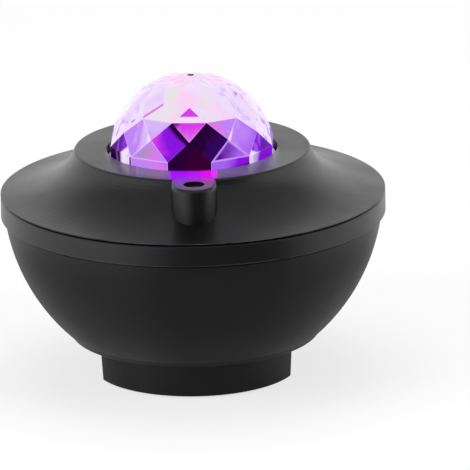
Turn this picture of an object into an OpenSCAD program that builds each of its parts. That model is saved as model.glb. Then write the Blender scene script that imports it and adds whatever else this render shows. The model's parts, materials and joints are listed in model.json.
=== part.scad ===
// Star night light projector.
// A bowl-shaped housing with a flared cover, a faceted clear dome that turns over
// coloured lamps, a laser turret with a turning grating, and a speaker in the foot.
// The origin is the centre of the underside, +Z is up and the turret is towards -Y.

/* [Bowl] */
// Radius of the rim, where bowl and cover meet
rim_r = 84; // [83.5:0.1:85]
// Height of the seam between bowl and cover
seam_z = 81.6; // [81:0.1:82]
// Radius of the round bowl at its widest
bowl_r = 83; // [82.6:0.1:83.4]
// Depth of the round bowl from its widest to its lowest point, before the cut
bowl_depth = 84.4; // [84:0.1:85]
// Height of the bowl's widest point
bowl_mid_z = 82.1; // [81.8:0.1:82.5]
// Height of the straight band below the rim
band_h = 9.8; // [9:0.1:10]
// Outer radius of the foot, at its front and rear
foot_r = 45; // [44.5:0.1:45.5]
// Distance of the foot's flat sides from the centre, at their lower edge
foot_flat = 40.9; // [40.5:0.1:41.3]
// Lean of the flat sides, outward with height
foot_draft = 3.5; // [2:0.5:4]
// Height of the foot's top, where it meets the bowl
foot_h = 16.9; // [16:0.1:17.5]
// Wall thickness of the mouldings
wall = 2.2; // [2:0.1:2.4]

/* [Cover] */
// Outer radius of the collar around the dome
collar_r = 51.7; // [51:0.1:52.5]
// Height of the collar's flat top
collar_z = 100.9; // [100:0.1:102]
// Radius of the opening that the dome stands in
well_r = 37.1; // [37:0.1:37.5]
// Radius of the laser turret
turret_r = 9.9; // [9.5:0.1:10]
// Distance of the turret's axis from the centre
turret_reach = 57.9; // [57.5:0.1:58.5]
// Radius of the turret's aperture
aperture_r = 4.55; // [4:0.05:4.8]

/* [Dome] */
// Number of facets round the dome
dome_sides = 12; // [12:2:12]
// Turn of the facet pattern
dome_turn = -2.5; // [-15:0.5:15]
// Radius of the dome's corners at its lowest belt
dome_r = 36.4; // [36:0.1:36.5]
// Height of the lowest belt of corners
belt_z = 104; // [103.5:0.1:104.5]
// Height of the dome's lower edge
dome_foot_z = 98; // [97.9:0.1:98.5]
// Height of the dome's tip
dome_top_z = 133.8; // [133:0.1:134.5]
// Radius of the dome's smooth inside
dome_inner_r = 33.2; // [32.5:0.1:33.5]

/* [Drive] */
// Tooth size of the dome's gears, pitch diameter per tooth
dome_module = 0.8; // [0.8:0.05:0.8]
// Teeth of the gear on the dome's shaft
dome_teeth = 40; // [40:1:40]
// Teeth of the pinion on the gear motor
motor_teeth = 16; // [16:1:16]
// Tooth size of the grating's gears
grating_module = 0.5; // [0.5:0.05:0.5]
// Teeth of the ring gear that carries the grating
grating_teeth = 44; // [44:1:44]
// Teeth of the pinion that drives it
grating_motor_teeth = 12; // [12:1:12]
// Radius of the dome's shaft
shaft_r = 1.45; // [1.4:0.05:1.5]

/* [Controls] */
// Radius of a push button
button_r = 4; // [3.6:0.1:4.2]
// Distance between buttons
button_pitch = 12; // [12:0.5:12.5]
// Distance of the button row from the centre
button_reach = 69; // [68.5:0.1:69.5]

/* [Hidden] */
// Fits
play = 0.05;
seat = 0.02;

// Housing, heights from the underside
foot_gap = 1;
foot_edge = 0.4;
band_z = seam_z - band_h;
seam_gap = 0.5;
ledge_z = 75.5;
tongue_r = 81.4;
edge = 1.2;
band_edge = 1.2;
groove_h = 1;
groove_d = 0.6;
turret_edge = 1.6;
inner_foot_r = foot_r - wall;
floor_z = foot_h + wall;
shelf_round = 2.5;

// Port pocket in the rear of the bowl
pocket_y = 59.5;
pocket_w = 42;
pocket_low = 28.5;
pocket_high = 42.5;

// Base, speaker and board
plate_z = 1.6;
plate_h = 2.2;
plate_top = plate_z + plate_h;
plate_screw_r = 35.6;
gasket_h = 1;
flange_z = plate_top + gasket_h;
flange_r = 29.5;
speaker_screw_r = 27.4;
board_z = 29;
board_h = 1.6;
board_top = board_z + board_h;
board_r = 54;
board_posts = [[36, 30], [-36, 30], [36, -30], [-36, -30]];
usb_x = -9;
usb_size = [13.2, 14, 6.8];
inlet_x = 11;
inlet_size = [9, 7.4, 3.2];

// Lamp deck and drive
chassis_z = 88;
chassis_h = 3;
deck_z = chassis_z + chassis_h;
chassis_r = 48.5;
cover_post = 31.8;
sink_h = 2;
led_z = deck_z + sink_h;
led_h = 1.6;
led_top = led_z + led_h;
led_board_r = 32;
lamp_ring_r = 13;
bridge_z = 74;
bridge_h = 2.5;
bridge_top = bridge_z + bridge_h;
bridge_posts = [[18, -11], [-18, -11], [18, 40], [-18, 40]];
gear_z = 79;
gear_h = 4;
dome_drive_y = dome_module * (dome_teeth + motor_teeth) / 2;
can_y = dome_drive_y + 8;
can_r = 14;
can_h = 19;
ear_x = 17.5;
motor_shaft_r = 2.5;

// Laser
turret_bore = 6.1;
window_z = 97.6;
window_h = 1.2;
bracket_z = 74;
bracket_h = 3;
bracket_top = bracket_z + bracket_h;
laser_posts = [-18, 22];
laser_r = 5;
spigot_r = 5;
ring_z = bracket_top + 0.3;
ring_h = 3;
carrier_top = 86;
grating_drive_x = grating_module * (grating_teeth + grating_motor_teeth) / 2;
small_can_r = 6;
small_can_h = 15.5;
small_shaft_r = 0.75;

// Buttons, in the plane of the rear pad
pad_tilt = 18;
pad_z = 85.4;
pad_w = 52;
pad_d = 13;
button_x = [-1.5, -0.5, 0.5, 1.5];
switch_board_z = -9;

// Gear teeth
pressure = 20;
addendum = 0.9;
dedendum = 1.25;
backlash = 0.12;

smooth = 160;
small = 48;

// ---------- outlines ----------

// Radius of the bowl's outside at a height, less an inset
function bowl_at(z, inset) =
    (bowl_r - inset) * sqrt(1 - pow((bowl_mid_z - z) / (bowl_depth - inset), 2));

// Point of a curve drawn by two ends and one pulling point
function bend(a, b, c, t) = a * pow(1 - t, 2) + b * 2 * t * (1 - t) + c * pow(t, 2);

// Points of a round corner of radius r about c, from angle a to angle b
function corner(c, r, a, b, n) =
    [for (i = [0:n]) c + r * [cos(a + (b - a) * i / n), sin(a + (b - a) * i / n)]];

// The flare's outside, from the collar out to the rim
flare_out = [for (i = [1:18]) bend([collar_r, collar_z - edge], [57, 84.8],
    [rim_r - 0.25, seam_z + 0.35], i / 18)];

// The flare's inside, from the rim in to the collar
flare_in = [for (i = [0:14]) bend([tongue_r - wall, seam_z - 1.5], [54.6, 82.6],
    [collar_r - wall, collar_z - wall], i / 14)];

// Half the angle of a gear tooth at radius r
function involute(a) = tan(a) * 180 / PI - a;
function tooth_half(r, base, half) = half + involute(pressure) - involute(acos(min(1, base / r)));

// Outline of a spur gear with a tooth on the +X axis
function gear_outline(teeth, size) =
    let (
        pitch = size * teeth / 2,
        base = pitch * cos(pressure),
        tip = pitch + addendum * size,
        root = pitch - dedendum * size,
        half = 90 / teeth - backlash / 2 / pitch * 180 / PI,
        start = max(base, root),
        flank = [for (i = [0:3]) start + (tip - start) * i / 3],
        radii = root < base ? concat([root], flank) : flank,
        last = len(radii) - 1
    )
    [for (k = [0:teeth - 1], side = [-1, 1], i = [0:last])
        let (
            r = radii[side < 0 ? i : last - i],
            a = 360 * k / teeth + side * tooth_half(max(r, base), base, half)
        )
        r * [cos(a), sin(a)]];

module spur_gear(teeth, size, h) {
    linear_extrude(h)
        polygon(gear_outline(teeth, size));
}

module tube(outer, inner, h) {
    difference() {
        cylinder(r = outer, h = h, $fn = smooth);
        translate([0, 0, -1])
            cylinder(r = inner, h = h + 2, $fn = smooth);
    }
}

module rounded_rect(w, d, r) {
    square([w - 2 * r, d], center = true);
    square([w, d - 2 * r], center = true);
    for (x = [-1, 1], y = [-1, 1])
        translate([x * (w / 2 - r), y * (d / 2 - r)])
            circle(r = r, $fn = small);
}

module rounded_slab(w, d, h, r) {
    linear_extrude(h)
        rounded_rect(w, d, r);
}

// A screw with its head's underside at the origin, its shank pointing down
module screw(shank, length, head, head_h) {
    difference() {
        union() {
            translate([0, 0, -length])
                cylinder(r = shank, h = length, $fn = small);
            cylinder(r1 = head, r2 = head * 0.8, h = head_h, $fn = small);
        }
        for (a = [0, 90])
            rotate([0, 0, a])
                translate([0, 0, head_h])
                    cube([head * 1.1, 0.5, head_h], center = true);
    }
}

module round_about(n, r, first = 0) {
    for (k = [0:n - 1])
        rotate([0, 0, first + 360 * k / n])
            translate([r, 0, 0])
                children();
}

module at_turret() {
    translate([0, -turret_reach, 0])
        children();
}

module at_pad() {
    translate([0, button_reach, pad_z])
        rotate([-pad_tilt, 0, 0])
            children();
}

// ---------- foot, base and bowl ----------

module rubber_feet() {
    color("dimgray")
        round_about(4, 32.5, 0)
            cylinder(r = 4, h = plate_z + 0.8, $fn = small);
}

module base_plate() {
    color([0.1, 0.1, 0.11])
        difference() {
            foot_block(wall + 0.2, plate_z, plate_top);
            round_about(4, 32.5, 0)
                cylinder(r = 4 + seat, h = plate_z + 0.8, $fn = small);
            round_about(4, plate_screw_r, 45) {
                cylinder(r = 1.5, h = plate_top + 1, $fn = small);
                cylinder(r = 3, h = plate_z + 1.3, $fn = small);
            }
            round_about(4, speaker_screw_r, 45)
                translate([0, 0, plate_z + 0.8])
                    cylinder(r = 1 + seat, h = plate_h, $fn = small);
            speaker_grille();
        }
}

// Straight sound slots whose ends follow a circle
module speaker_grille() {
    slot_w = 2;
    slot_pitch = 4;
    field_r = 21;
    for (i = [-4:4]) {
        y = i * slot_pitch;
        reach = sqrt(pow(field_r, 2) - pow(y, 2)) - slot_w / 2;
        translate([0, y, 0])
            linear_extrude(plate_top + 1) {
                square([2 * reach, slot_w], center = true);
                for (x = [-reach, reach])
                    translate([x, 0])
                        circle(r = slot_w / 2, $fn = 24);
            }
    }
}

module base_screws() {
    color("silver")
        round_about(4, plate_screw_r, 45)
            translate([0, 0, plate_z + 1.3])
                mirror([0, 0, 1])
                    screw(1.2, 9, 2.6, 1);
}

// A slice of the foot's outer form, or of a smaller one inside it: round at the
// front and rear, flat and leaning at both sides
module foot_block(inset, from_z, to_z) {
    intersection() {
        translate([0, 0, from_z])
            cylinder(r = foot_r - inset, h = to_z - from_z, $fn = smooth);
        foot_side(1, inset);
        foot_side(-1, inset);
    }
}

// Everything on the inner side of one of the foot's flats
module foot_side(side, inset) {
    translate([side * (foot_flat - inset), 0, foot_gap])
        rotate([0, side * foot_draft, 0])
            translate([-side * 60, 0, 0])
                cube([120, 120, 80], center = true);
}

// The foot with the edge that it stands on broken
module foot_form() {
    intersection() {
        foot_block(0, foot_gap, foot_h + 0.5);
        union() {
            translate([0, 0, foot_gap])
                cylinder(r1 = foot_r - foot_edge, r2 = foot_r, h = foot_edge, $fn = smooth);
            translate([0, 0, foot_gap + foot_edge])
                cylinder(r = foot_r + 1, h = foot_h, $fn = smooth);
        }
    }
}

// The bowl's outside has a rounded edge at its top and a fine groove under its band
module bowl_shell() {
    shelf_r = bowl_at(foot_h + shelf_round, 0);
    groove_z = band_z - groove_h;
    groove_r = bowl_at(band_z, groove_d);
    outside = concat(
        [[0, foot_h]],
        corner([shelf_r - shelf_round - 0.6, foot_h + shelf_round], shelf_round, -90, -45, 3),
        [for (i = [0:24])
            let (z = foot_h + shelf_round + (groove_z - foot_h - shelf_round) * i / 24)
            [bowl_at(z, 0), z]],
        [[groove_r, groove_z], [groove_r, band_z]],
        [[rim_r - 0.15, band_z], [rim_r, band_z + 0.15]],
        corner([rim_r - band_edge, seam_z - seam_gap - band_edge], band_edge, 0, 90, 5)
    );
    inside = concat(
        [[tongue_r + 0.1, seam_z - seam_gap], [tongue_r + 0.1, 78]],
        [[tongue_r + 0.5, 77.6], [tongue_r + 0.5, 77.2], [tongue_r + 0.1, 76.8]],
        [[tongue_r + 0.1, ledge_z], [bowl_at(ledge_z, wall), ledge_z]],
        [for (i = [0:20])
            let (z = ledge_z - (ledge_z - floor_z - 1) * i / 20)
            [bowl_at(z, wall), z]],
        [[bowl_at(floor_z + 1, wall) - 2, floor_z], [0, floor_z]]
    );
    difference() {
        union() {
            rotate_extrude($fn = smooth)
                polygon(concat(outside, inside));
            foot_form();
        }
        foot_block(wall, 0, floor_z + 1);
    }
}

// Everything inside the bowl's outer surface
module bowl_envelope() {
    rotate_extrude($fn = smooth)
        polygon(concat(
            [[0, foot_h + 1]],
            [for (i = [0:24])
                let (z = foot_h + 1 + (band_z - foot_h - 1) * i / 24)
                [bowl_at(z, 0.2), z]],
            [[0, band_z]]
        ));
}

module lower_bowl() {
    color([0.13, 0.13, 0.14])
        difference() {
            union() {
                bowl_shell();
                intersection() {
                    bowl_envelope();
                    port_block(wall, pocket_y - wall);
                }
                round_about(4, plate_screw_r, 45) {
                    translate([0, 0, plate_top])
                        cylinder(r = 3.2, h = 13, $fn = small);
                    translate([0, -1, plate_top])
                        cube([inner_foot_r - plate_screw_r + 1, 2, 13]);
                }
                for (p = board_posts)
                    translate([p[0], p[1], floor_z - 0.5])
                        cylinder(r = 3, h = board_z - floor_z + 0.5, $fn = small);
                bowl_ribs();
            }
            port_block(0, pocket_y);
            translate([usb_x, pocket_y - 4, board_top + usb_size[2] / 2])
                cube([usb_size[0] + 0.3, 12, usb_size[2] + 0.3], center = true);
            translate([inlet_x, pocket_y - 4, board_top + inlet_size[2] / 2])
                cube([inlet_size[0] + 0.3, 12, inlet_size[2] + 0.3], center = true);
            round_about(4, plate_screw_r, 45)
                translate([0, 0, plate_top - 1])
                    cylinder(r = 1.2 + seat, h = 10, $fn = small);
            for (p = board_posts)
                translate([p[0], p[1], board_z - 6])
                    cylinder(r = 1 + seat, h = 7, $fn = small);
        }
}

// The pocket that the plugs go into, or with a margin the block that walls it
module port_block(margin, from_y) {
    translate([-pocket_w / 2 - margin, from_y, pocket_low - margin])
        cube([pocket_w + 2 * margin, 40, pocket_high - pocket_low + 2 * margin]);
}

// Stiffening ribs that run up the inside of the bowl
module bowl_ribs() {
    rib_h = 8;
    round_about(6, 0, 60)
        intersection() {
            bowl_envelope();
            translate([bowl_at(floor_z + rib_h, wall) - 6, -0.8, floor_z - 0.3])
                cube([10, 1.6, rib_h]);
        }
}

// ---------- upper cover ----------

module cover_shell() {
    top_edge = corner([collar_r - edge, collar_z - edge], edge, 90, 0, 4);
    hole_edge = corner([well_r + 0.5, collar_z - 0.5], 0.5, 180, 90, 3);
    rim_edge = [[rim_r, seam_z + 0.15], [rim_r, seam_z]];
    tongue = [
        [tongue_r, seam_z], [tongue_r, 78], [tongue_r + 0.35, 77.5], [tongue_r + 0.35, 77.3],
        [tongue_r, 76.9], [tongue_r, ledge_z], [tongue_r - wall, ledge_z]
    ];
    well = [
        [well_r + 1.8, collar_z - wall], [well_r + 1.8, deck_z], [well_r, deck_z]
    ];
    rotate_extrude($fn = smooth)
        polygon(concat(hole_edge, top_edge, flare_out, rim_edge, tongue, flare_in, well));
}

// The space below the flare and the collar
module cover_space() {
    rotate_extrude($fn = smooth)
        polygon(concat([[0, 60], [tongue_r - wall, 60]], flare_in, [[0, collar_z - wall]]));
}

// The turret with its rounded top edge, and the neck that joins it to the collar
module turret_body() {
    h = collar_z - seam_z;
    neck = 12;
    side = concat(
        [[turret_r, 0]],
        corner([turret_r - turret_edge, h - turret_edge], turret_edge, 0, 90, 5)
    );
    translate([0, -turret_reach, seam_z]) {
        rotate_extrude($fn = smooth)
            polygon(concat([[0, 0]], side, [[0, h]]));
        translate([0, neck, 0])
            rotate([90, 0, 0])
                linear_extrude(neck)
                    polygon(concat(side, [for (i = [len(side) - 1:-1:0]) [-side[i][0], side[i][1]]]));
    }
}

// The raised button pad, and with a margin taken off the hollow below it
module button_pad() {
    at_pad()
        translate([0, 0, -4])
            rounded_slab(pad_w, pad_d, 4.4, 5);
}

module button_hollow() {
    at_pad()
        translate([0, 0, -4.5])
            rounded_slab(pad_w - 2.4, pad_d - 2.4, 4.9 - wall, 4);
}

module button_posts() {
    at_pad()
        for (x = [-12, 12])
            translate([x, -7, switch_board_z + 1.6])
                cylinder(r = 2.4, h = 6.4, $fn = small);
}

module upper_cover() {
    color([0.15, 0.15, 0.16])
        difference() {
            union() {
                difference() {
                    union() {
                        cover_shell();
                        button_pad();
                    }
                    button_hollow();
                }
                difference() {
                    turret_body();
                    cover_space();
                }
                cover_posts();
                button_posts();
            }
            at_turret() {
                cylinder(r = turret_bore, h = window_z + window_h, $fn = small);
                cylinder(r = aperture_r, h = collar_z + 1, $fn = small);
            }
            for (a = [45:90:315])
                rotate([0, 0, a])
                    translate([cover_post * sqrt(2), 0, deck_z - 1])
                        cylinder(r = 1.2 + seat, h = 8, $fn = small);
            for (x = laser_posts)
                translate([x, -turret_reach, bracket_top - 1])
                    cylinder(r = 1 + seat, h = 6, $fn = small);
            at_pad() {
                for (k = button_x)
                    translate([k * button_pitch, 0, -6])
                        cylinder(r = button_r + 0.25, h = 8, $fn = small);
                for (x = [-12, 12])
                    translate([x, -7, switch_board_z + 1])
                        cylinder(r = 0.9 + seat, h = 5, $fn = small);
            }
        }
}

// Screw posts that hang from the collar and the flare
module cover_posts() {
    for (a = [45:90:315])
        rotate([0, 0, a])
            translate([cover_post * sqrt(2), 0, deck_z])
                cylinder(r = 3, h = collar_z - wall - deck_z + 0.5, $fn = small);
    for (x = laser_posts)
        intersection() {
            translate([x, -turret_reach, bracket_top])
                cylinder(r = 2.8, h = 20, $fn = small);
            cover_envelope();
        }
}

// Everything below the flare's outer surface, a little inside it
module cover_envelope() {
    rotate_extrude($fn = smooth)
        polygon(concat(
            [[0, 60], [tongue_r - wall, 60]],
            [for (p = flare_in) p + [0.5, 1]],
            [[0, collar_z - wall]]
        ));
}

// ---------- speaker, facing down through the base ----------

module speaker_gasket() {
    color([0.05, 0.05, 0.05])
        difference() {
            translate([0, 0, plate_top])
                tube(flange_r, 23, gasket_h);
            round_about(4, speaker_screw_r, 45)
                translate([0, 0, plate_top - 1])
                    cylinder(r = 1.2, h = 3, $fn = small);
        }
}

module speaker_basket() {
    color([0.25, 0.25, 0.27])
        difference() {
            translate([0, 0, flange_z])
                rotate_extrude($fn = smooth)
                    polygon([[23, 0], [flange_r, 0], [flange_r, 1], [25, 1], [24, 3],
                        [17, 10], [17, 11], [8, 11], [8, 10], [15.8, 10], [23, 2.6]]);
            round_about(4, speaker_screw_r, 45)
                translate([0, 0, flange_z - 1])
                    cylinder(r = 1.2, h = 3, $fn = small);
            round_about(6, 20.5, 0)
                translate([0, 0, flange_z + 6])
                    cube([9, 11, 4.6], center = true);
        }
}

module speaker_magnet() {
    color("silver")
        translate([0, 0, flange_z + 11])
            difference() {
                union() {
                    cylinder(r = 13, h = 1, $fn = smooth);
                    translate([0, 0, 1])
                        cylinder(r = 16, h = 6, $fn = smooth);
                    translate([0, 0, 7])
                        cylinder(r = 14, h = 1.2, $fn = smooth);
                }
                translate([0, 0, -1])
                    tube(7.6, 6, 7);
            }
}

module speaker_surround() {
    color([0.04, 0.04, 0.04])
        translate([0, 0, flange_z + 1.2])
            rotate_extrude($fn = smooth)
                polygon(concat(
                    [[20.3, 0.2], [20.3, -0.3]],
                    corner([21.6, -0.3], 1.3, 180, 360, 10),
                    [[22.9, 0.2]],
                    corner([21.6, -0.1], 0.9, 360, 180, 10)
                ));
}

module speaker_cone() {
    color([0.1, 0.1, 0.11])
        translate([0, 0, flange_z + 1])
            rotate_extrude($fn = smooth)
                polygon(concat(
                    [for (i = [0:6]) [7 * i / 6, 4.2 + 2 * (1 - pow(1 - i / 6, 2)) - 2 * (i / 6)]],
                    [[20, 0.2], [20, 0.8], [7.2, 7.8], [7.2, 13], [6.7, 13], [6.7, 6.5]],
                    [[6.4, 5], [0, 5]]
                ));
}

module speaker_screws() {
    color("silver")
        round_about(4, speaker_screw_r, 45)
            translate([0, 0, flange_z + 1])
                screw(1, 3.2, 1.9, 1.2);
}

// ---------- main board ----------

module main_board() {
    color("darkgreen")
        difference() {
            translate([0, 0, board_z])
                cylinder(r = board_r, h = board_h, $fn = smooth);
            for (p = board_posts)
                translate([p[0], p[1], board_z - 1])
                    cylinder(r = 1.3, h = board_h + 2, $fn = small);
        }
}

module board_screws() {
    color("silver")
        for (p = board_posts)
            translate([p[0], p[1], board_top])
                screw(1, 6.5, 2.2, 1.3);
}

module on_board(x, y) {
    translate([x, y, board_top])
        children();
}

module bluetooth_module() {
    color([0.1, 0.25, 0.5])
        on_board(-22, 2) {
            translate([-7.5, -10, 0])
                cube([15, 20, 0.8]);
            translate([-6.5, -9, 0])
                cube([13, 12, 2.4]);
        }
}

module board_chips() {
    color([0.08, 0.08, 0.08]) {
        on_board(10, 8)
            chip(10, 10, 1.2, 11);
        on_board(14, -18)
            chip(5, 8, 1.4, 4);
        on_board(-8, -24)
            chip(5, 5, 1.2, 4);
    }
}

// A flat package with a row of legs along two sides
module chip(w, d, h, legs) {
    pitch = d * 0.86 / legs;
    translate([-w / 2, -d / 2, 0.2])
        cube([w, d, h]);
    for (i = [0:legs - 1])
        translate([-w / 2 - 1, -(legs - 1) * pitch / 2 + i * pitch - pitch / 4, 0])
            cube([w + 2, pitch / 2, 0.5]);
}

module board_capacitors() {
    color([0.2, 0.2, 0.35])
        for (x = [-2, 6, 14])
            on_board(x + 14, -32) {
                cylinder(r = 3.15, h = 7.4, $fn = small);
                translate([0, 0, 7.4])
                    cylinder(r1 = 3.15, r2 = 2.8, h = 0.3, $fn = small);
            }
}

module wire_sockets() {
    color("ivory")
        for (p = [[-36, -8, 2], [-36, 10, 4], [36, -6, 3], [36, 8, 2], [-14, -36, 2]])
            on_board(p[0], p[1])
                difference() {
                    translate([-2.9, -p[2] - 1.4, 0])
                        cube([5.8, 2 * p[2] + 2.8, 6]);
                    translate([-2, -p[2] - 0.6, 1.5])
                        cube([4, 2 * p[2] + 1.2, 5]);
                }
}

module usb_socket() {
    w = usb_size[0];
    d = usb_size[1];
    h = usb_size[2];
    color("silver")
        translate([usb_x, pocket_y - d, board_top]) {
            difference() {
                translate([-w / 2, 0, 0])
                    cube([w, d, h]);
                translate([-w / 2 + 0.4, 2, 0.6])
                    cube([w - 0.8, d, h - 1.2]);
            }
            translate([-w / 2 + 1, 1, h - 2.9])
                cube([w - 2, d - 2, 1.7]);
        }
}

module power_inlet() {
    w = inlet_size[0];
    d = inlet_size[1];
    h = inlet_size[2];
    color("silver")
        translate([inlet_x, pocket_y, board_top + h / 2])
            rotate([90, 0, 0]) {
                difference() {
                    rounded_slab(w, h, d, h / 2 - 0.01);
                    translate([0, 0, -1])
                        rounded_slab(w - 0.6, h - 0.6, d, h / 2 - 0.31);
                }
                translate([-w / 2 + 1.2, -0.35, 0.8])
                    cube([w - 2.4, 0.7, d - 1]);
            }
}

// ---------- lamp deck ----------

module chassis() {
    color([0.2, 0.2, 0.22])
        difference() {
            union() {
                translate([0, 0, chassis_z])
                    cylinder(r = chassis_r, h = chassis_h, $fn = smooth);
                translate([0, 0, chassis_z - 3.5])
                    cylinder(r = 5, h = 4, $fn = small);
                for (p = bridge_posts)
                    translate([p[0], p[1], bridge_top])
                        cylinder(r = 2.8, h = chassis_z - bridge_top + 0.5, $fn = small);
            }
            translate([0, 0, chassis_z - 4])
                cylinder(r = 3, h = 10, $fn = small);
            for (p = bridge_posts)
                translate([p[0], p[1], bridge_top - 1])
                    cylinder(r = 1 + seat, h = 9, $fn = small);
            for (a = [45:90:315])
                rotate([0, 0, a])
                    translate([cover_post * sqrt(2), 0, chassis_z - 1])
                        cylinder(r = 1.4, h = 6, $fn = small);
            round_about(3, 27, 30)
                translate([0, 0, chassis_z + 0.5])
                    cylinder(r = 1 + seat, h = 4, $fn = small);
            translate([-36, 0, deck_z - 5])
                rounded_slab(8, 14, 10, 2);
        }
}

module chassis_screws() {
    color("silver")
        for (a = [45:90:315])
            rotate([0, 0, a])
                translate([cover_post * sqrt(2), 0, chassis_z])
                    mirror([0, 0, 1])
                        screw(1.2, 9, 2.5, 1.5);
}

module heat_sink() {
    color("gainsboro")
        difference() {
            translate([0, 0, deck_z])
                cylinder(r = led_board_r, h = sink_h, $fn = smooth);
            translate([0, 0, deck_z - 1])
                cylinder(r = 3.4, h = sink_h + 2, $fn = small);
            round_about(3, 27, 30)
                translate([0, 0, deck_z - 1])
                    cylinder(r = 1.2, h = sink_h + 2, $fn = small);
            round_about(24, led_board_r + 1, 0)
                translate([0, 0, deck_z + sink_h / 2])
                    cube([6, 2, sink_h + 1], center = true);
        }
}

module led_board() {
    color([0.12, 0.12, 0.13])
        difference() {
            translate([0, 0, led_z])
                cylinder(r = led_board_r, h = led_h, $fn = smooth);
            translate([0, 0, led_z - 1])
                cylinder(r = 3, h = led_h + 2, $fn = small);
            round_about(3, 27, 30)
                translate([0, 0, led_z - 1])
                    cylinder(r = 1.2, h = led_h + 2, $fn = small);
        }
}

module led_lamps() {
    color("lightyellow")
        round_about(6, lamp_ring_r, 30)
            translate([0, 0, led_top]) {
                translate([-2.5, -2.5, 0])
                    cube([5, 5, 0.9]);
                translate([0, 0, 0.9])
                    intersection() {
                        sphere(r = 2.2, $fn = small);
                        translate([0, 0, 2])
                            cube([6, 6, 4], center = true);
                    }
            }
}

module led_screws() {
    color("silver")
        round_about(3, 27, 30)
            translate([0, 0, led_top])
                screw(1, 5.4, 1.9, 1.2);
}

module ir_receiver() {
    color([0.05, 0.05, 0.06])
        translate([0, -22, led_top]) {
            translate([-2.5, -2, 0])
                cube([5, 4, 5]);
            translate([0, -2, 3])
                intersection() {
                    sphere(r = 1.6, $fn = small);
                    translate([0, -2, 0])
                        cube([4, 4, 4], center = true);
                }
        }
}

module reflector_ring() {
    color("whitesmoke")
        translate([0, 0, led_top])
            rotate_extrude($fn = smooth)
                polygon([[29.6, 0], [led_board_r - 0.2, 0], [35.6, 2.4], [36.4, 2.4], [36.4, 2.9],
                    [34.6, 2.9], [30, 0.6]]);
}

// ---------- dome and its drive ----------

// A ring of the dome's corners, half a step round for a shift of 0.5
function belt(r, z, shift) =
    [for (k = [0:dome_sides - 1])
        let (a = dome_turn + (k + shift) * 360 / dome_sides)
        [r * cos(a), r * sin(a), z]];

// The corner radius half a step round that keeps a kite between two belts flat
function kite_r(low, high, z) =
    (low[0] + (high[0] - low[0]) * (z - low[1]) / (high[1] - low[1])) / cos(180 / dome_sides);

module crystal_body() {
    n = dome_sides;
    low = [dome_r, belt_z];
    mid = [28.7, 119.7];
    high = [15.5, 130.6];
    tip = [0, dome_top_z];
    kite_1_z = 112.4;
    kite_2_z = 125.4;
    kite_3_r = 8.2;
    kite_3_z = high[1] + (tip[1] - high[1]) * (high[0] - kite_3_r) / high[0];
    corners = concat(
        belt(dome_r, dome_foot_z, 0.5),
        belt(low[0], low[1], 0.5),
        belt(kite_r(low, mid, kite_1_z), kite_1_z, 0),
        belt(mid[0], mid[1], 0.5),
        belt(kite_r(mid, high, kite_2_z), kite_2_z, 0),
        belt(high[0], high[1], 0.5),
        belt(kite_3_r / cos(180 / n), kite_3_z, 0),
        [[0, 0, dome_top_z]]
    );
    polyhedron(points = corners, faces = concat(
        [[for (k = [0:n - 1]) k]],
        [for (k = [0:n - 1]) let (j = (k + 1) % n) [k, n + k, n + j, j]],
        [for (k = [0:n - 1]) let (j = (k + 1) % n) [n + k, 2 * n + j, n + j]],
        [for (b = [1, 3]) for (k = [0:n - 1]) let (j = (k + 1) % n)
            [b * n + k, (b + 1) * n + k, (b + 2) * n + k, (b + 1) * n + j]],
        [for (b = [3, 5]) for (k = [0:n - 1]) let (j = (k + 1) % n)
            [b * n + k, b * n + j, (b - 1) * n + j]],
        [for (b = [3, 5]) for (k = [0:n - 1]) let (j = (k + 1) % n)
            [b * n + k, (b + 1) * n + j, b * n + j]],
        [for (k = [0:n - 1]) let (j = (k + 1) % n) [5 * n + k, 6 * n + k, 7 * n, 6 * n + j]]
    ));
}

module crystal_dome() {
    centre_z = 97.6;
    color([0.85, 0.6, 1, 0.5])
        difference() {
            union() {
                difference() {
                    crystal_body();
                    translate([0, 0, centre_z])
                        sphere(r = dome_inner_r, $fn = 96);
                }
                translate([0, 0, 122])
                    cylinder(r = 2.8, h = 9, $fn = small);
            }
            translate([0, 0, 121])
                cylinder(r = shaft_r + seat, h = 20, $fn = small);
        }
}

module dome_shaft() {
    color("silver")
        difference() {
            translate([0, 0, 71])
                cylinder(r = shaft_r, h = dome_top_z - 71.2, $fn = small);
            translate([0, 0, 72.2])
                tube(3, 1.1, 0.8);
        }
}

module retaining_clip() {
    color("dimgray")
        translate([0, 0, 72.25])
            difference() {
                tube(3.2, 1.12, 0.7);
                translate([0, -0.9, -1])
                    cube([5, 1.8, 3]);
            }
}

module dome_gear() {
    color("ivory")
        difference() {
            union() {
                translate([0, 0, gear_z])
                    rotate([0, 0, 90])
                        spur_gear(dome_teeth, dome_module, gear_h);
                translate([0, 0, bridge_top + 0.6])
                    cylinder(r = 4.4, h = chassis_z - 3.7 - bridge_top - 0.6, $fn = small);
            }
            translate([0, 0, bridge_top])
                cylinder(r = shaft_r + seat, h = 12, $fn = small);
            for (z = [gear_z - 1, gear_z + gear_h - 1.2])
                translate([0, 0, z])
                    tube(13.6, 5.8, 2.2);
            round_about(6, 9.7, 0)
                translate([0, 0, gear_z - 1])
                    cylinder(r = 2.4, h = gear_h + 2, $fn = small);
        }
}

module upper_bush() {
    color("peru")
        translate([0, 0, chassis_z - 3.5])
            tube(3 - seat, shaft_r + play, 6.5);
}

module lower_bush() {
    color("peru")
        difference() {
            union() {
                translate([0, 0, bridge_z])
                    cylinder(r = 3 - seat, h = bridge_h, $fn = small);
                translate([0, 0, bridge_top])
                    cylinder(r = 4.2, h = 0.5, $fn = small);
            }
            translate([0, 0, bridge_z - 1])
                cylinder(r = shaft_r + play, h = 6, $fn = small);
        }
}

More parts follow.
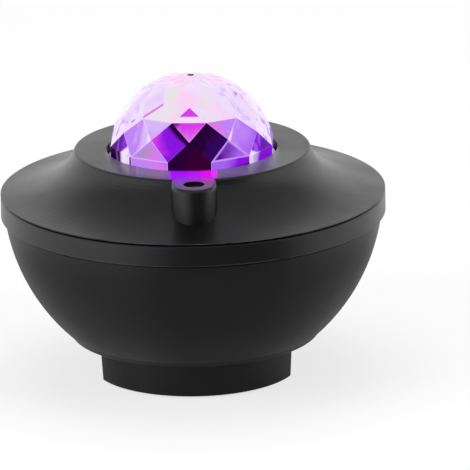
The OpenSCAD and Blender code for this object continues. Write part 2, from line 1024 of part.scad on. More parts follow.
module drive_bridge() {
    color([0.75, 0.75, 0.78])
        difference() {
            translate([0, 14.5, bridge_z])
                rounded_slab(43, 59, bridge_h, 4);
            translate([0, 0, bridge_z - 1])
                cylinder(r = 3, h = bridge_h + 2, $fn = small);
            translate([0, dome_drive_y, bridge_z - 1])
                cylinder(r = 4.7, h = bridge_h + 2, $fn = small);
            for (p = bridge_posts)
                translate([p[0], p[1], bridge_z - 1])
                    cylinder(r = 1.2, h = bridge_h + 2, $fn = small);
            for (x = [-ear_x, ear_x])
                translate([x, can_y, bridge_z - 1])
                    cylinder(r = 1.2 + seat, h = bridge_h + 2, $fn = small);
        }
}

module bridge_screws() {
    color("silver")
        for (p = bridge_posts)
            translate([p[0], p[1], bridge_z])
                mirror([0, 0, 1])
                    screw(1, 9.5, 2, 1.4);
}

module dome_motor() {
    color("silver")
        difference() {
            union() {
                translate([0, can_y, bridge_z - can_h])
                    cylinder(r = can_r, h = can_h, $fn = smooth);
                translate([0, dome_drive_y, bridge_z - 1])
                    cylinder(r = 4.5, h = 2.5, $fn = small);
                translate([0, can_y, bridge_z - 0.8])
                    rounded_slab(2 * ear_x + 7, 7, 0.8, 3.4);
                translate([-7.5, can_y + 10, bridge_z - can_h + 1])
                    cube([15, 7, 17]);
            }
            translate([0, dome_drive_y, bridge_z - 12])
                cylinder(r = motor_shaft_r + play, h = 20, $fn = small);
            for (x = [-ear_x, ear_x])
                translate([x, can_y, bridge_z - 3])
                    cylinder(r = 1.4, h = 6, $fn = small);
        }
}

module motor_screws() {
    color("silver")
        for (x = [-ear_x, ear_x])
            translate([x, can_y, bridge_z - 0.8])
                mirror([0, 0, 1])
                    screw(1.2, 3, 2.4, 1.5);
}

module motor_shaft() {
    color("gainsboro")
        translate([0, dome_drive_y, bridge_z - 11])
            cylinder(r = motor_shaft_r, h = gear_z + gear_h - bridge_z + 11.2, $fn = small);
}

module motor_pinion() {
    color("ivory")
        translate([0, dome_drive_y, gear_z])
            difference() {
                rotate([0, 0, -90 + 180 / motor_teeth])
                    spur_gear(motor_teeth, dome_module, gear_h);
                translate([0, 0, -1])
                    cylinder(r = motor_shaft_r + seat, h = gear_h + 2, $fn = small);
            }
}

// ---------- laser ----------

module laser_bracket() {
    color([0.2, 0.2, 0.22])
        at_turret()
            difference() {
                union() {
                    translate([2, 0, bracket_z])
                        rounded_slab(48, 20, bracket_h, 4);
                    translate([0, 0, bracket_z - 8])
                        cylinder(r = 7.4, h = 8.5, $fn = small);
                    translate([0, 0, bracket_top - 0.5])
                        cylinder(r = spigot_r, h = 7.5, $fn = small);
                }
                translate([0, 0, bracket_z - 9])
                    cylinder(r = laser_r + seat, h = 9, $fn = small);
                translate([0, 0, bracket_z - 1])
                    cylinder(r = 4.2, h = 20, $fn = small);
                for (x = laser_posts)
                    translate([x, 0, bracket_z - 1])
                        cylinder(r = 1.2, h = bracket_h + 2, $fn = small);
                translate([grating_drive_x, 0, bracket_z - 1])
                    cylinder(r = 2, h = bracket_h + 2, $fn = small);
            }
}

module laser_screws() {
    color("silver")
        for (x = laser_posts)
            translate([x, -turret_reach, bracket_z])
                mirror([0, 0, 1])
                    screw(1, 7.5, 2, 1.4);
}

module laser_module() {
    color("goldenrod")
        at_turret()
            difference() {
                union() {
                    translate([0, 0, bracket_z - 26])
                        cylinder(r = laser_r, h = 26, $fn = small);
                    translate([-4, -0.8, bracket_z - 34])
                        cube([8, 1.6, 9]);
                }
                translate([0, 0, bracket_z - 4])
                    cylinder(r = 3.2, h = 5, $fn = small);
                for (z = [-24:1.6:-12])
                    translate([0, 0, bracket_z + z])
                        tube(6, 4.6, 0.8);
            }
}

module laser_lens() {
    color([0.8, 0.9, 1, 0.6])
        at_turret()
            translate([0, 0, bracket_z - 4])
                cylinder(r = 3.2 - seat, h = 1.6, $fn = small);
}

module grating_carrier() {
    color("ivory")
        at_turret()
            difference() {
                union() {
                    translate([0, 0, ring_z])
                        spur_gear(grating_teeth, grating_module, ring_h);
                    translate([0, 0, ring_z])
                        cylinder(r = 5.8, h = carrier_top - ring_z, $fn = small);
                }
                translate([0, 0, ring_z - 1])
                    cylinder(r = spigot_r + play, h = carrier_top - ring_z - 0.5, $fn = small);
                translate([0, 0, ring_z + 5])
                    cylinder(r = 4.2, h = 10, $fn = small);
                translate([0, 0, carrier_top - 0.8])
                    cylinder(r = 4.8, h = 2, $fn = small);
            }
}

module grating_disc() {
    color([0.8, 0.9, 1, 0.6])
        at_turret()
            translate([0, 0, carrier_top - 0.8])
                cylinder(r = 4.8 - seat, h = 0.7, $fn = small);
}

module grating_motor() {
    color("silver")
        translate([grating_drive_x, -turret_reach, 0])
            difference() {
                union() {
                    translate([0, 0, bracket_z - small_can_h])
                        cylinder(r = small_can_r, h = small_can_h, $fn = small);
                    translate([0, 0, bracket_z - small_can_h - 1.2])
                        cylinder(r = 2.5, h = 2, $fn = small);
                    translate([0, 0, bracket_z - 0.5])
                        cylinder(r = 2 - seat, h = 1.7, $fn = small);
                }
                translate([0, 0, bracket_z - 6])
                    cylinder(r = small_shaft_r + play, h = 12, $fn = small);
            }
}

module grating_shaft() {
    color("gainsboro")
        translate([grating_drive_x, -turret_reach, bracket_z - 5])
            cylinder(r = small_shaft_r, h = ring_z + ring_h - bracket_z + 5.2, $fn = small);
}

module grating_pinion() {
    color("ivory")
        translate([grating_drive_x, -turret_reach, ring_z])
            difference() {
                rotate([0, 0, 180 + 180 / grating_motor_teeth])
                    spur_gear(grating_motor_teeth, grating_module, ring_h);
                translate([0, 0, -1])
                    cylinder(r = small_shaft_r + seat, h = ring_h + 2, $fn = small);
            }
}

module laser_window() {
    color([0.5, 0.5, 0.55, 0.6])
        at_turret()
            translate([0, 0, window_z])
                cylinder(r = turret_bore - seat, h = window_h, $fn = small);
}

// ---------- buttons ----------

// A cap with a dished top and a flange below the cover's wall
module button(k) {
    color([0.2, 0.2, 0.21])
        at_pad()
            translate([button_x[k] * button_pitch, 0, 0])
                rotate_extrude($fn = small)
                    polygon([[0, -3.5], [1.5, -3.5], [1.5, -2.9], [button_r + 0.9, -2.9],
                        [button_r + 0.9, -2.3], [button_r, -2.3], [button_r, 1.2],
                        [button_r - 0.4, 1.6], [2.4, 1.4], [0, 1.3]]);
}

module plunger(k) {
    color("dimgray")
        at_pad()
            translate([button_x[k] * button_pitch, 0, -5])
                cylinder(r = 1.6, h = 1.5, $fn = small);
}

module power_button() {
    button(0);
}

module light_button() {
    button(1);
}

module laser_button() {
    button(2);
}

module mode_button() {
    button(3);
}

module power_plunger() {
    plunger(0);
}

module light_plunger() {
    plunger(1);
}

module laser_plunger() {
    plunger(2);
}

module mode_plunger() {
    plunger(3);
}

module button_board() {
    color("darkgreen")
        at_pad()
            difference() {
                translate([0, -2, switch_board_z])
                    rounded_slab(48, 15, 1.6, 2);
                for (x = [-12, 12])
                    translate([x, -7, switch_board_z - 1])
                        cylinder(r = 1.1, h = 4, $fn = small);
            }
}

module switch_bodies() {
    color([0.1, 0.1, 0.1])
        at_pad()
            for (k = button_x)
                translate([k * button_pitch, 0, switch_board_z + 1.6])
                    difference() {
                        translate([-3, -3, 0])
                            cube([6, 6, 3.2]);
                        translate([0, 0, 1.5])
                            cylinder(r = 1.6 + play, h = 3, $fn = small);
                    }
}

module switch_screws() {
    color("silver")
        at_pad()
            for (x = [-12, 12])
                translate([x, -7, switch_board_z])
                    mirror([0, 0, 1])
                        screw(0.9, 5.5, 1.7, 1.2);
}

rubber_feet();
base_plate();
base_screws();
lower_bowl();
upper_cover();
speaker_gasket();
speaker_basket();
speaker_magnet();
speaker_surround();
speaker_cone();
speaker_screws();
main_board();
board_screws();
bluetooth_module();
board_chips();
board_capacitors();
wire_sockets();
usb_socket();
power_inlet();
chassis();
chassis_screws();
heat_sink();
led_board();
led_lamps();
led_screws();
ir_receiver();
reflector_ring();
crystal_dome();
dome_shaft();
dome_gear();
retaining_clip();
upper_bush();
lower_bush();
drive_bridge();
bridge_screws();
dome_motor();
motor_screws();
motor_shaft();
motor_pinion();
laser_bracket();
laser_screws();
laser_module();
laser_lens();
grating_carrier();
grating_disc();
grating_motor();
grating_shaft();
grating_pinion();
laser_window();
power_button();
light_button();
laser_button();
mode_button();
power_plunger();
light_plunger();
laser_plunger();
mode_plunger();
button_board();
switch_bodies();
switch_screws();
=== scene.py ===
"""Star night light projector: the finishes, the faceted dome, the studio and the camera.

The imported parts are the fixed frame. Every part gets a finish for its material, and the
dome is made again as a surface of cut facets with light behind them.
"""
import json
import logging
import math
from collections.abc import Callable
from dataclasses import dataclass, field
from enum import Enum

import bpy
import numpy as np
from mathutils import Euler, Matrix, Vector


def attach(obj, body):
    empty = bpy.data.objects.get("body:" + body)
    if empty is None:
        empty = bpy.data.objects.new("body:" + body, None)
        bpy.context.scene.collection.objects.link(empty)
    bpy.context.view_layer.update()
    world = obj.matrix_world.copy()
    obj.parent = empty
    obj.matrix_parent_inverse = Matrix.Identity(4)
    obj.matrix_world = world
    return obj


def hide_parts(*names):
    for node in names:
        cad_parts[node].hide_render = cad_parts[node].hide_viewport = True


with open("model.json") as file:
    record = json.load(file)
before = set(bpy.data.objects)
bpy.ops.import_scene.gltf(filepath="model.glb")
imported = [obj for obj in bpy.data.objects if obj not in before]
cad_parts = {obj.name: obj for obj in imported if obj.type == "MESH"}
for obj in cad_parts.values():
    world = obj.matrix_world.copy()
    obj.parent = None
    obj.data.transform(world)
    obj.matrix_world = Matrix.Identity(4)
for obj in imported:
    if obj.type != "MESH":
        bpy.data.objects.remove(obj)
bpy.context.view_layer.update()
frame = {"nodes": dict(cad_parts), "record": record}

LOG = logging.getLogger("projector")
MM = 0.001
Pair = tuple[float, float]
Colour = tuple[float, float, float]
Place = tuple[float, float, float]
Patches = tuple[float, float, float, float]
Values = dict[int | str, object]


# ---------- shader arithmetic ----------


def operator(operation: str, reflected: bool = False) -> Callable[..., "Wire"]:
    """A method of Wire that adds one Math node.

    Args:
        operation: The node's operation.
        reflected: Whether the wire is the second operand.

    Returns:
        The method.
    """
    def method(wire: "Wire", other: object = 0.0) -> "Wire":
        """The result of the operation."""
        first, second = (other, wire) if reflected else (wire, other)
        return wire.shader.node("Math", {"operation": operation}, {0: first, 1: second})

    return method


@dataclass(frozen=True)
class Wire:
    """The output of a shader node, which can be written in arithmetic."""

    shader: "Shader"
    socket: bpy.types.NodeSocket

    __add__ = __radd__ = operator("ADD")
    __mul__ = __rmul__ = operator("MULTIPLY")
    __sub__ = operator("SUBTRACT")
    __rsub__ = operator("SUBTRACT", reflected=True)
    __truediv__ = operator("DIVIDE")
    __mod__ = operator("FLOORED_MODULO")
    __pow__ = operator("POWER")
    __gt__ = operator("GREATER_THAN")
    __lt__ = operator("LESS_THAN")
    __abs__ = operator("ABSOLUTE")

    def step(self, low: float, high: float) -> "Wire":
        """0 below low, 1 above high, and smooth between them."""
        return self.shader.node(
            "MapRange", {"interpolation_type": "SMOOTHSTEP"}, {0: self, 1: low, 2: high}
        )


class Shader:
    """The nodes of a material or world, made by writing expressions on their wires."""

    def __init__(self, owner: bpy.types.ID) -> None:
        """Empties the nodes of a material or world.

        Args:
            owner: The material or world.
        """
        owner.use_nodes = True
        self.owner = owner
        self.tree = owner.node_tree
        self.tree.nodes.clear()

    def node(self, kind: str, settings: dict[str, object] | None = None,
             values: Values | None = None, output: int | str = 0) -> Wire:
        """Adds a node.

        Args:
            kind: The node's type, without "ShaderNode".
            settings: Its properties, set first.
            values: The values or wires of its sockets, by name or number.
            output: The output to return.

        Returns:
            The wire of that output.
        """
        made = self.tree.nodes.new("ShaderNode" + kind)
        for key, value in (settings or {}).items():
            setattr(made, key, value)
        for key, value in (values or {}).items():
            self.feed(made.inputs[key], value)
        return Wire(self, made.outputs[output])

    def feed(self, socket: bpy.types.NodeSocket, value: object) -> None:
        """Links a wire to a socket, or sets the socket's own value.

        Args:
            socket: The input socket.
            value: A wire, a number, or a colour or vector of three numbers.
        """
        if isinstance(value, Wire):
            self.tree.links.new(value.socket, socket)
        elif isinstance(value, tuple) and socket.type == "RGBA":
            socket.default_value = (*value, 1.0)
        else:
            socket.default_value = value

    def mix(self, factor: object, first: object, second: object) -> Wire:
        """A colour between two colours.

        Args:
            factor: 0 gives the first colour and 1 the second.
            first: The first colour or wire.
            second: The second colour or wire.

        Returns:
            The mixed colour.
        """
        return self.node("Mix", {"data_type": "RGBA"}, {0: factor, 6: first, 7: second}, 2)

    def place(self) -> Wire:
        """The point of the surface, in metres from the object's origin."""
        return self.node("TexCoord", output="Object")

    def axes(self, vector: Wire) -> tuple[Wire, Wire, Wire]:
        """The three numbers of a vector, as (x, y, z)."""
        made = self.node("SeparateXYZ", None, {0: vector}).socket.node
        return tuple(Wire(self, made.outputs[i]) for i in range(3))

    def noise(self, vector: Wire, scale: float, detail: float = 2.0) -> Wire:
        """A soft random pattern between 0 and 1.

        Args:
            vector: Where the pattern is read.
            scale: Waves in a metre.
            detail: Finer layers added to it.

        Returns:
            The pattern's value.
        """
        return self.node("TexNoise", None, {"Vector": vector, "Scale": scale, "Detail": detail})

    def attribute(self, name: str, output: str = "Fac") -> Wire:
        """The named attribute of the mesh."""
        return self.node("Attribute", {"attribute_name": name}, output=output)

    def scaled(self, vector: Wire, scales: Colour) -> Wire:
        """The vector with each of its numbers multiplied by its own scale."""
        return self.node("VectorMath", {"operation": "MULTIPLY"}, {0: vector, 1: scales})

    def patches(self, where: Wire, kind: Patches) -> Wire:
        """Soft patches, 0 outside and 1 inside.

        Args:
            where: Where the pattern is read.
            kind: Its waves in a metre, its finer layers, and where a patch begins and is full.

        Returns:
            The patches.
        """
        pitch, layers, low, high = kind
        return self.noise(where, pitch, layers).step(low, high)

    def close(self, surface: Wire, kind: str = "Material") -> None:
        """Makes the surface the output of the material or world."""
        output = self.tree.nodes.new("ShaderNodeOutput" + kind)
        self.tree.links.new(surface.socket, output.inputs["Surface"])

    def finish(self, values: Values) -> bpy.types.Material:
        """Closes the material with a Principled shader.

        Args:
            values: The values or wires of the shader's sockets.

        Returns:
            The finished material.
        """
        self.close(self.node("BsdfPrincipled", None, values))
        return self.owner


# ---------- finishes ----------


class Grain(Enum):
    """How a surface is textured: in words, the stretch of its waves and their finer layers."""

    MOULDED = ("fine satin of a mould", (1.0, 1.0, 1.0), 3.0)
    SPARK = ("spark-eroded, with small pits", (1.0, 1.0, 1.0), 3.0)
    RUBBER = ("dull and slightly wavy", (1.0, 1.0, 1.0), 3.0)
    BRUSHED = ("fine lines along one axis", (0.06, 1.0, 1.0), 2.0)
    TURNED = ("fine rings about the part's own axis", (0.04, 0.04, 1.0), 2.0)
    FIBRE = ("felted fibres", (1.0, 0.25, 0.5), 5.0)
    CELLS = ("open foam", (1.0, 1.0, 1.0), 3.0)
    POLISHED = ("smooth, with faint waves", (1.0, 1.0, 1.0), 3.0)


@dataclass(frozen=True)
class Finish:
    """One moulded, cut or plated finish.

    Attributes:
        colour: The usual colour.
        shade: The colour that it wanders to in places.
        rough: Roughness where it is smoothest and where it is dullest.
        pitch: Waves of the texture in a metre.
        grain: The texture.
        depth: Depth of the texture, in metres.
        metal: 1 for bare metal.
        level: Strength of the reflection, 0.5 for most plastics.
        coat: Strength of a clear coat.
        coat_rough: The coat's roughness.
        clear: How much light goes through.
        blotch: The patches that have the shade.
        blotch_share: Their share of the change in roughness. The texture has the rest.
        pits: Pitch of the waves between pits as a share of the pitch, and the heights of waves
            and pits.
    """

    colour: Colour
    shade: Colour
    rough: Pair
    pitch: float
    grain: Grain = Grain.MOULDED
    depth: float = 0.00001
    metal: float = 0.0
    level: float = 0.5
    coat: float = 0.0
    coat_rough: float = 0.12
    clear: float = 0.0
    blotch: Patches = (38.0, 3.0, 0.35, 0.7)
    blotch_share: float = 0.6
    pits: tuple[float, float, float] = (0.6, 0.5, 0.7)

    def height(self, shader: Shader, where: Wire) -> Wire:
        """The texture's height.

        Args:
            shader: The material in hand.
            where: The point of the surface.

        Returns:
            A value of about 0 to 1.
        """
        _, stretch, layers = self.grain.value
        if self.grain in (Grain.SPARK, Grain.CELLS):
            wave, wave_height, pit_height = self.pits
            waves = shader.noise(where, self.pitch * wave, layers)
            cells = shader.node("TexVoronoi", None, {"Vector": where, "Scale": self.pitch})
            return waves * wave_height + cells * pit_height
        return shader.noise(shader.scaled(where, stretch), self.pitch, layers)

    def values(self, shader: Shader, tint: Wire | None = None) -> Values:
        """The values of the Principled shader for this finish.

        Args:
            shader: The material in hand.
            tint: A colour to use in place of the finish's own.

        Returns:
            Values by socket name.
        """
        where = shader.place()
        low, high = self.rough
        fine = self.height(shader, where)
        bump = shader.node("Bump", None, {"Strength": 1.0, "Distance": self.depth, "Height": fine})
        blotch = shader.patches(where, self.blotch)
        dull = (high - low) * self.blotch_share
        return {
            "Base Color": tint or shader.mix(blotch, self.colour, self.shade),
            "Roughness": blotch * dull + fine * (high - low - dull) + low,
            "Metallic": self.metal,
            "Specular IOR Level": self.level,
            "Coat Weight": self.coat,
            "Coat Roughness": self.coat_rough,
            "Transmission Weight": self.clear,
            "Normal": bump,
        }

    def pattern(self, shader: Shader) -> Values:
        """The values with the part's own pattern, of which a plain finish has none."""
        return self.values(shader)

    def build(self, name: str) -> bpy.types.Material:
        """The finish as a material of that name."""
        shader = Shader(bpy.data.materials.new(name))
        return shader.finish(self.pattern(shader))


FINISHES: dict[str, Finish] = {
    "base_plastic": Finish(
        (0.012, 0.012, 0.013), (0.018, 0.018, 0.019), (0.5, 0.7), 1400.0, Grain.SPARK, 0.00006),
    "foot_rubber": Finish(
        (0.018, 0.018, 0.018), (0.03, 0.029, 0.028), (0.7, 0.9), 900.0, Grain.RUBBER, 0.00003,
        level=0.3),
    "screw_steel": Finish(
        (0.55, 0.55, 0.57), (0.47, 0.48, 0.5), (0.25, 0.42), 5200.0, Grain.TURNED, 0.000006,
        metal=1.0),
    "foam": Finish(
        (0.018, 0.018, 0.018), (0.03, 0.03, 0.03), (0.9, 1.0), 1100.0, Grain.CELLS, 0.0002,
        level=0.2),
    "basket_black": Finish(
        (0.02, 0.02, 0.022), (0.032, 0.032, 0.034), (0.4, 0.6), 1800.0, Grain.SPARK, 0.00003),
    "magnet_steel": Finish(
        (0.11, 0.11, 0.12), (0.17, 0.17, 0.18), (0.4, 0.65), 1300.0, Grain.SPARK, 0.00003,
        metal=0.6),
    "cone_paper": Finish(
        (0.017, 0.017, 0.018), (0.034, 0.033, 0.032), (0.75, 0.95), 1500.0, Grain.FIBRE, 0.00008,
        level=0.3),
    "board_blue": Finish(
        (0.01, 0.035, 0.16), (0.012, 0.05, 0.2), (0.25, 0.4), 700.0, Grain.POLISHED),
    "board_black": Finish(
        (0.012, 0.012, 0.014), (0.02, 0.02, 0.022), (0.3, 0.45), 700.0, Grain.POLISHED),
    "chip_black": Finish(
        (0.01, 0.01, 0.011), (0.018, 0.018, 0.019), (0.5, 0.7), 3200.0, Grain.SPARK, 0.00002),
    "capacitor_sleeve": Finish(
        (0.012, 0.013, 0.05), (0.018, 0.02, 0.07), (0.2, 0.35), 900.0, Grain.POLISHED),
    "ivory_nylon": Finish((0.75, 0.7, 0.58), (0.68, 0.62, 0.48), (0.4, 0.55), 2200.0),
    "frame_plastic": Finish(
        (0.022, 0.022, 0.024), (0.032, 0.032, 0.034), (0.45, 0.6), 1900.0, Grain.SPARK, 0.00003),
    "sink_aluminium": Finish(
        (0.68, 0.68, 0.7), (0.58, 0.58, 0.61), (0.28, 0.45), 4200.0, Grain.BRUSHED, metal=1.0),
    "lamp_resin": Finish(
        (0.86, 0.8, 0.95), (0.8, 0.74, 0.9), (0.08, 0.16), 900.0, Grain.POLISHED, clear=0.6),
    "reflector_white": Finish((0.8, 0.8, 0.8), (0.74, 0.74, 0.75), (0.25, 0.4), 2000.0),
    "clip_steel": Finish(
        (0.12, 0.12, 0.13), (0.07, 0.07, 0.08), (0.3, 0.5), 5000.0, Grain.BRUSHED, metal=1.0),
    "gear_acetal": Finish((0.78, 0.76, 0.7), (0.71, 0.69, 0.62), (0.35, 0.5), 2300.0),
    "bush_bronze": Finish(
        (0.42, 0.25, 0.1), (0.3, 0.17, 0.07), (0.4, 0.6), 4000.0, Grain.SPARK, 0.00002, metal=1.0),
    "bridge_steel": Finish(
        (0.52, 0.53, 0.55), (0.62, 0.62, 0.6), (0.28, 0.45), 3600.0, Grain.BRUSHED, metal=1.0),
    "motor_steel": Finish(
        (0.56, 0.56, 0.57), (0.47, 0.47, 0.49), (0.2, 0.35), 4200.0, Grain.TURNED, metal=1.0),
    "laser_brass": Finish(
        (0.68, 0.46, 0.17), (0.55, 0.35, 0.12), (0.22, 0.38), 5200.0, Grain.TURNED, metal=1.0),
    "lens_glass": Finish(
        (0.85, 0.9, 1.0), (0.8, 0.87, 0.97), (0.02, 0.06), 600.0, Grain.POLISHED, 0.000004,
        clear=0.9),
    # The window's dark violet is partly its own tint and partly a painted reflection of the dome's
    # light.
    "window_tint": Finish(
        (0.05, 0.035, 0.065), (0.06, 0.042, 0.076), (0.05, 0.12), 600.0, Grain.POLISHED, 0.000004,
        coat=0.3),
}


@dataclass(frozen=True)
class Housing(Finish):
    """The satin black of the mouldings, grey on sharp edges: partly worn, partly painted
    highlight.

    Attributes:
        worn: Colour of the edges, partly worn and partly a painted highlight.
        edges: Radius and height of the edges round the axis.
        turret: y of the turret's axis, and radius and height of its upper edge.
        fade: Distances from an edge between which its worn grey and painted highlight end.
        patchy: The patches in which edges are worn and carry the painted highlight.
        smear: The patches that are smeared.
        dulled: Roughness that a smear adds.
    """

    colour: Colour = (0.0028, 0.0028, 0.003)
    shade: Colour = (0.0036, 0.0036, 0.0039)
    rough: Pair = (0.26, 0.37)
    depth: float = 0.000006
    pitch: float = 1900.0
    level: float = 0.65
    # Grey of the edges: partly worn, partly a painted highlight on their roundings.
    worn: Colour = (0.03, 0.03, 0.032)
    edges: tuple[Pair, ...] = (
        (84.1 * MM, 81.9 * MM), (84.0 * MM, 71.8 * MM), (51.7 * MM, 100.9 * MM),
        (37.0 * MM, 100.9 * MM),
    )
    turret: tuple[float, float, float] = (-57.9 * MM, 9.9 * MM, 100.9 * MM)
    fade: Pair = (0.15 * MM, 0.7 * MM)
    patchy: Patches = (160.0, 4.0, 0.3, 0.65)
    smear: Patches = (26.0, 5.0, 0.5, 0.72)
    dulled: float = 0.05

    def pattern(self, shader: Shader) -> Values:
        """The mouldings' worn edges, whose grey is also a painted highlight.

        An edge is a circle round the axis, and its worn grey and painted highlight fade with the
        distance from it: the root of (radius - edge radius) squared plus (z - edge height)
        squared.

        Args:
            shader: The material in hand.

        Returns:
            Values by socket name.
        """
        where = shader.place()
        x, y, z = shader.axes(where)
        turret_y, turret_r, turret_z = self.turret
        edge_wear_and_highlight = self.near_ring(x, y - turret_y, z, turret_r, turret_z)
        for edge_r, edge_z in self.edges:
            edge_wear_and_highlight = edge_wear_and_highlight + self.near_ring(x, y, z, edge_r, edge_z)
        values = self.values(shader)
        edge_wear_and_highlight = edge_wear_and_highlight * shader.patches(where, self.patchy)
        smear = shader.patches(where, self.smear)
        # Grey on the edges: partly worn, partly a painted highlight on their roundings.
        values["Base Color"] = shader.mix(edge_wear_and_highlight, values["Base Color"], self.worn)
        values["Roughness"] = values["Roughness"] + smear * self.dulled
        return values

    def near_ring(self, x: Wire, y: Wire, z: Wire, ring_r: float, ring_z: float) -> Wire:
        """How close a place is to a circle round the z axis.

        Args:
            x: The place, from the circle's axis.
            y: The same.
            z: Its height.
            ring_r: The circle's radius.
            ring_z: The circle's height.

        Returns:
            1 on the circle, fading to 0 where its worn grey and painted highlight end.
        """
        aside = (x * x + y * y) ** 0.5 - ring_r
        above = z - ring_z
        return 1.0 - ((aside * aside + above * above) ** 0.5).step(*self.fade)


@dataclass(frozen=True)
class CircuitBoard(Finish):
    """A board with tracks under its green mask and rows of tinned pads.

    Attributes:
        track: Distance between two tracks or pads.
        bends: Bends of the tracks in a metre, and how far they go aside.
        half_track: Half a track's width, as a share of the distance.
        half_pad: The same of a pad.
        groups: Waves in a metre of the pattern that says where pads are, and its limit.
        lit_mask: Colour of the mask over a track.
        tin: Colour of the pads.
    """

    colour: Colour = (0.008, 0.1, 0.035)
    shade: Colour = (0.012, 0.13, 0.05)
    rough: Pair = (0.22, 0.36)
    grain: Grain = Grain.POLISHED
    pitch: float = 700.0
    track: float = 2.4 * MM
    bends: Pair = (90.0, 0.4)
    half_track: float = 0.16
    half_pad: float = 0.2
    groups: Pair = (70.0, 0.56)
    lit_mask: Colour = (0.02, 0.24, 0.09)
    tin: Colour = (0.62, 0.6, 0.55)

    def pattern(self, shader: Shader) -> Values:
        """The board's tracks and pads.

        Args:
            shader: The material in hand.

        Returns:
            Values by socket name.
        """
        where = shader.place()
        x, y, _ = shader.axes(where)
        bends, aside = self.bends
        bend, _, _ = shader.axes(shader.node("TexVoronoi", {"distance": "MANHATTAN"},
                                             {"Vector": where, "Scale": bends}, "Position"))
        lines = abs((x + bend * aside) / self.track % 1.0 - 0.5) < self.half_track
        column, line = (abs(axis / self.track % 1.0 - 0.5) < self.half_pad for axis in (x, y))
        groups, limit = self.groups
        pads = column * line * (shader.noise(where, groups) > limit)
        mask = shader.mix(lines * 0.5, self.colour, self.lit_mask)
        values = self.values(shader, shader.mix(pads, mask, self.tin))
        values["Metallic"] = pads * 0.9
        return values


@dataclass(frozen=True)
class PortMetal(Finish):
    """The tinned shells of the two sockets, whose tongues are black plastic.

    Attributes:
        tongues: In millimetres, x of each tongue's middle, half its width and its heights.
        black: Colour of the tongues.
        gold: Colour of the contacts.
        contacts: Distance between two contacts, their shift along x in metres, and half a
            contact's width as a share of the distance.
        front_y: y of the tongues' front.
    """

    colour: Colour = (0.62, 0.62, 0.64)
    shade: Colour = (0.52, 0.52, 0.55)
    rough: Pair = (0.22, 0.38)
    grain: Grain = Grain.BRUSHED
    pitch: float = 4200.0
    metal: float = 1.0
    tongues: tuple[tuple[float, ...], ...] = ((-9.0, 5.65, 34.5, 36.25), (11.0, 3.4, 31.8, 32.6))
    black: Colour = (0.012, 0.012, 0.013)
    gold: Colour = (0.75, 0.56, 0.2)
    contacts: tuple[float, float, float] = (2.2 * MM, 0.1, 0.22)
    front_y: float = 58.6 * MM

    def pattern(self, shader: Shader) -> Values:
        """The sockets' tongues and contacts.

        Args:
            shader: The material in hand.

        Returns:
            Values by socket name.
        """
        x, y, z = shader.axes(shader.place())
        tongue = 0.0
        for middle, half, low, high in self.tongues:
            beside = abs(x - middle * MM) < half * MM
            tongue = beside * (z > low * MM) * (z < high * MM) + tongue
        tongue = tongue * (y < self.front_y)
        spacing, shift, half = self.contacts
        contacts = tongue * (abs((x + shift) / spacing % 1.0 - 0.5) < half)
        inside = shader.mix(contacts, self.black, self.gold)
        values = self.values(shader, shader.mix(tongue, self.colour, inside))
        values["Metallic"] = 1.0 - tongue + contacts
        return values


@dataclass(frozen=True)
class Shafting(Finish):
    """Ground steel, blackened at the tip that shows in the dome."""

    colour: Colour = (0.52, 0.52, 0.54)
    shade: Colour = (0.45, 0.45, 0.47)
    rough: Pair = (0.15, 0.3)
    grain: Grain = Grain.TURNED
    pitch: float = 5200.0
    metal: float = 1.0
    level: float = 0.04
    tip: Pair = (131.5 * MM, 132.5 * MM)
    blackened: Colour = (0.02, 0.004, 0.03)

    def pattern(self, shader: Shader) -> Values:
        """The shafts' black tip.

        Args:
            shader: The material in hand.

        Returns:
            Values by socket name.
        """
        _, _, z = shader.axes(shader.place())
        black = z.step(*self.tip)
        values = self.values(shader, shader.mix(black, self.colour, self.blackened))
        values["Metallic"] = 1.0 - black
        return values


@dataclass(frozen=True)
class ButtonCap(Finish):
    """The buttons' black, rubbed smoother in the middle of each dish."""

    colour: Colour = (0.014, 0.014, 0.015)
    shade: Colour = (0.02, 0.02, 0.021)
    rough: Pair = (0.42, 0.6)
    grain: Grain = Grain.SPARK
    depth: float = 0.00002
    pitch: float = 2600.0
    spacing: float = 12.0 * MM
    reach: float = 69.4 * MM
    rubbed: float = 3.0 * MM
    smoother: float = 0.14

    def pattern(self, shader: Shader) -> Values:
        """The buttons' rubbed middles.

        Args:
            shader: The material in hand.

        Returns:
            Values by socket name.
        """
        x, y, _ = shader.axes(shader.place())
        across = (x / self.spacing % 1.0 - 0.5) * self.spacing
        worn = 1.0 - (across * across + (y - self.reach) ** 2.0).step(0.0, self.rubbed ** 2)
        values = self.values(shader)
        values["Roughness"] = values["Roughness"] - worn * self.smoother
        return values


# ---------- the faceted dome ----------


class Tint(Enum):
    """What colour of light is behind a facet."""

    INK = (0.018, 0.0, 0.034)
    MAROON = (0.036, 0.0, 0.03)
    NAVY = (0.03, 0.001, 0.11)
    INDIGO = (0.09, 0.004, 0.24)
    VIOLET = (0.25, 0.006, 0.74)
    MAGENTA = (0.64, 0.02, 0.92)
    PLUM = (0.22, 0.006, 0.27)
    PINK = (0.7, 0.046, 0.82)
    ORCHID = (0.74, 0.18, 0.82)
    SAGE = (0.3, 0.33, 0.3)
    LILAC = (0.37, 0.12, 0.86)
    LAVENDER = (0.52, 0.23, 0.92)
    MIST = (0.7, 0.47, 0.95)
    CLOUD = (0.8, 0.62, 0.95)
    ROSE = (0.96, 0.64, 0.92)
    MINT = (0.81, 0.77, 0.8)
    WHITE = (0.86, 0.73, 0.95)


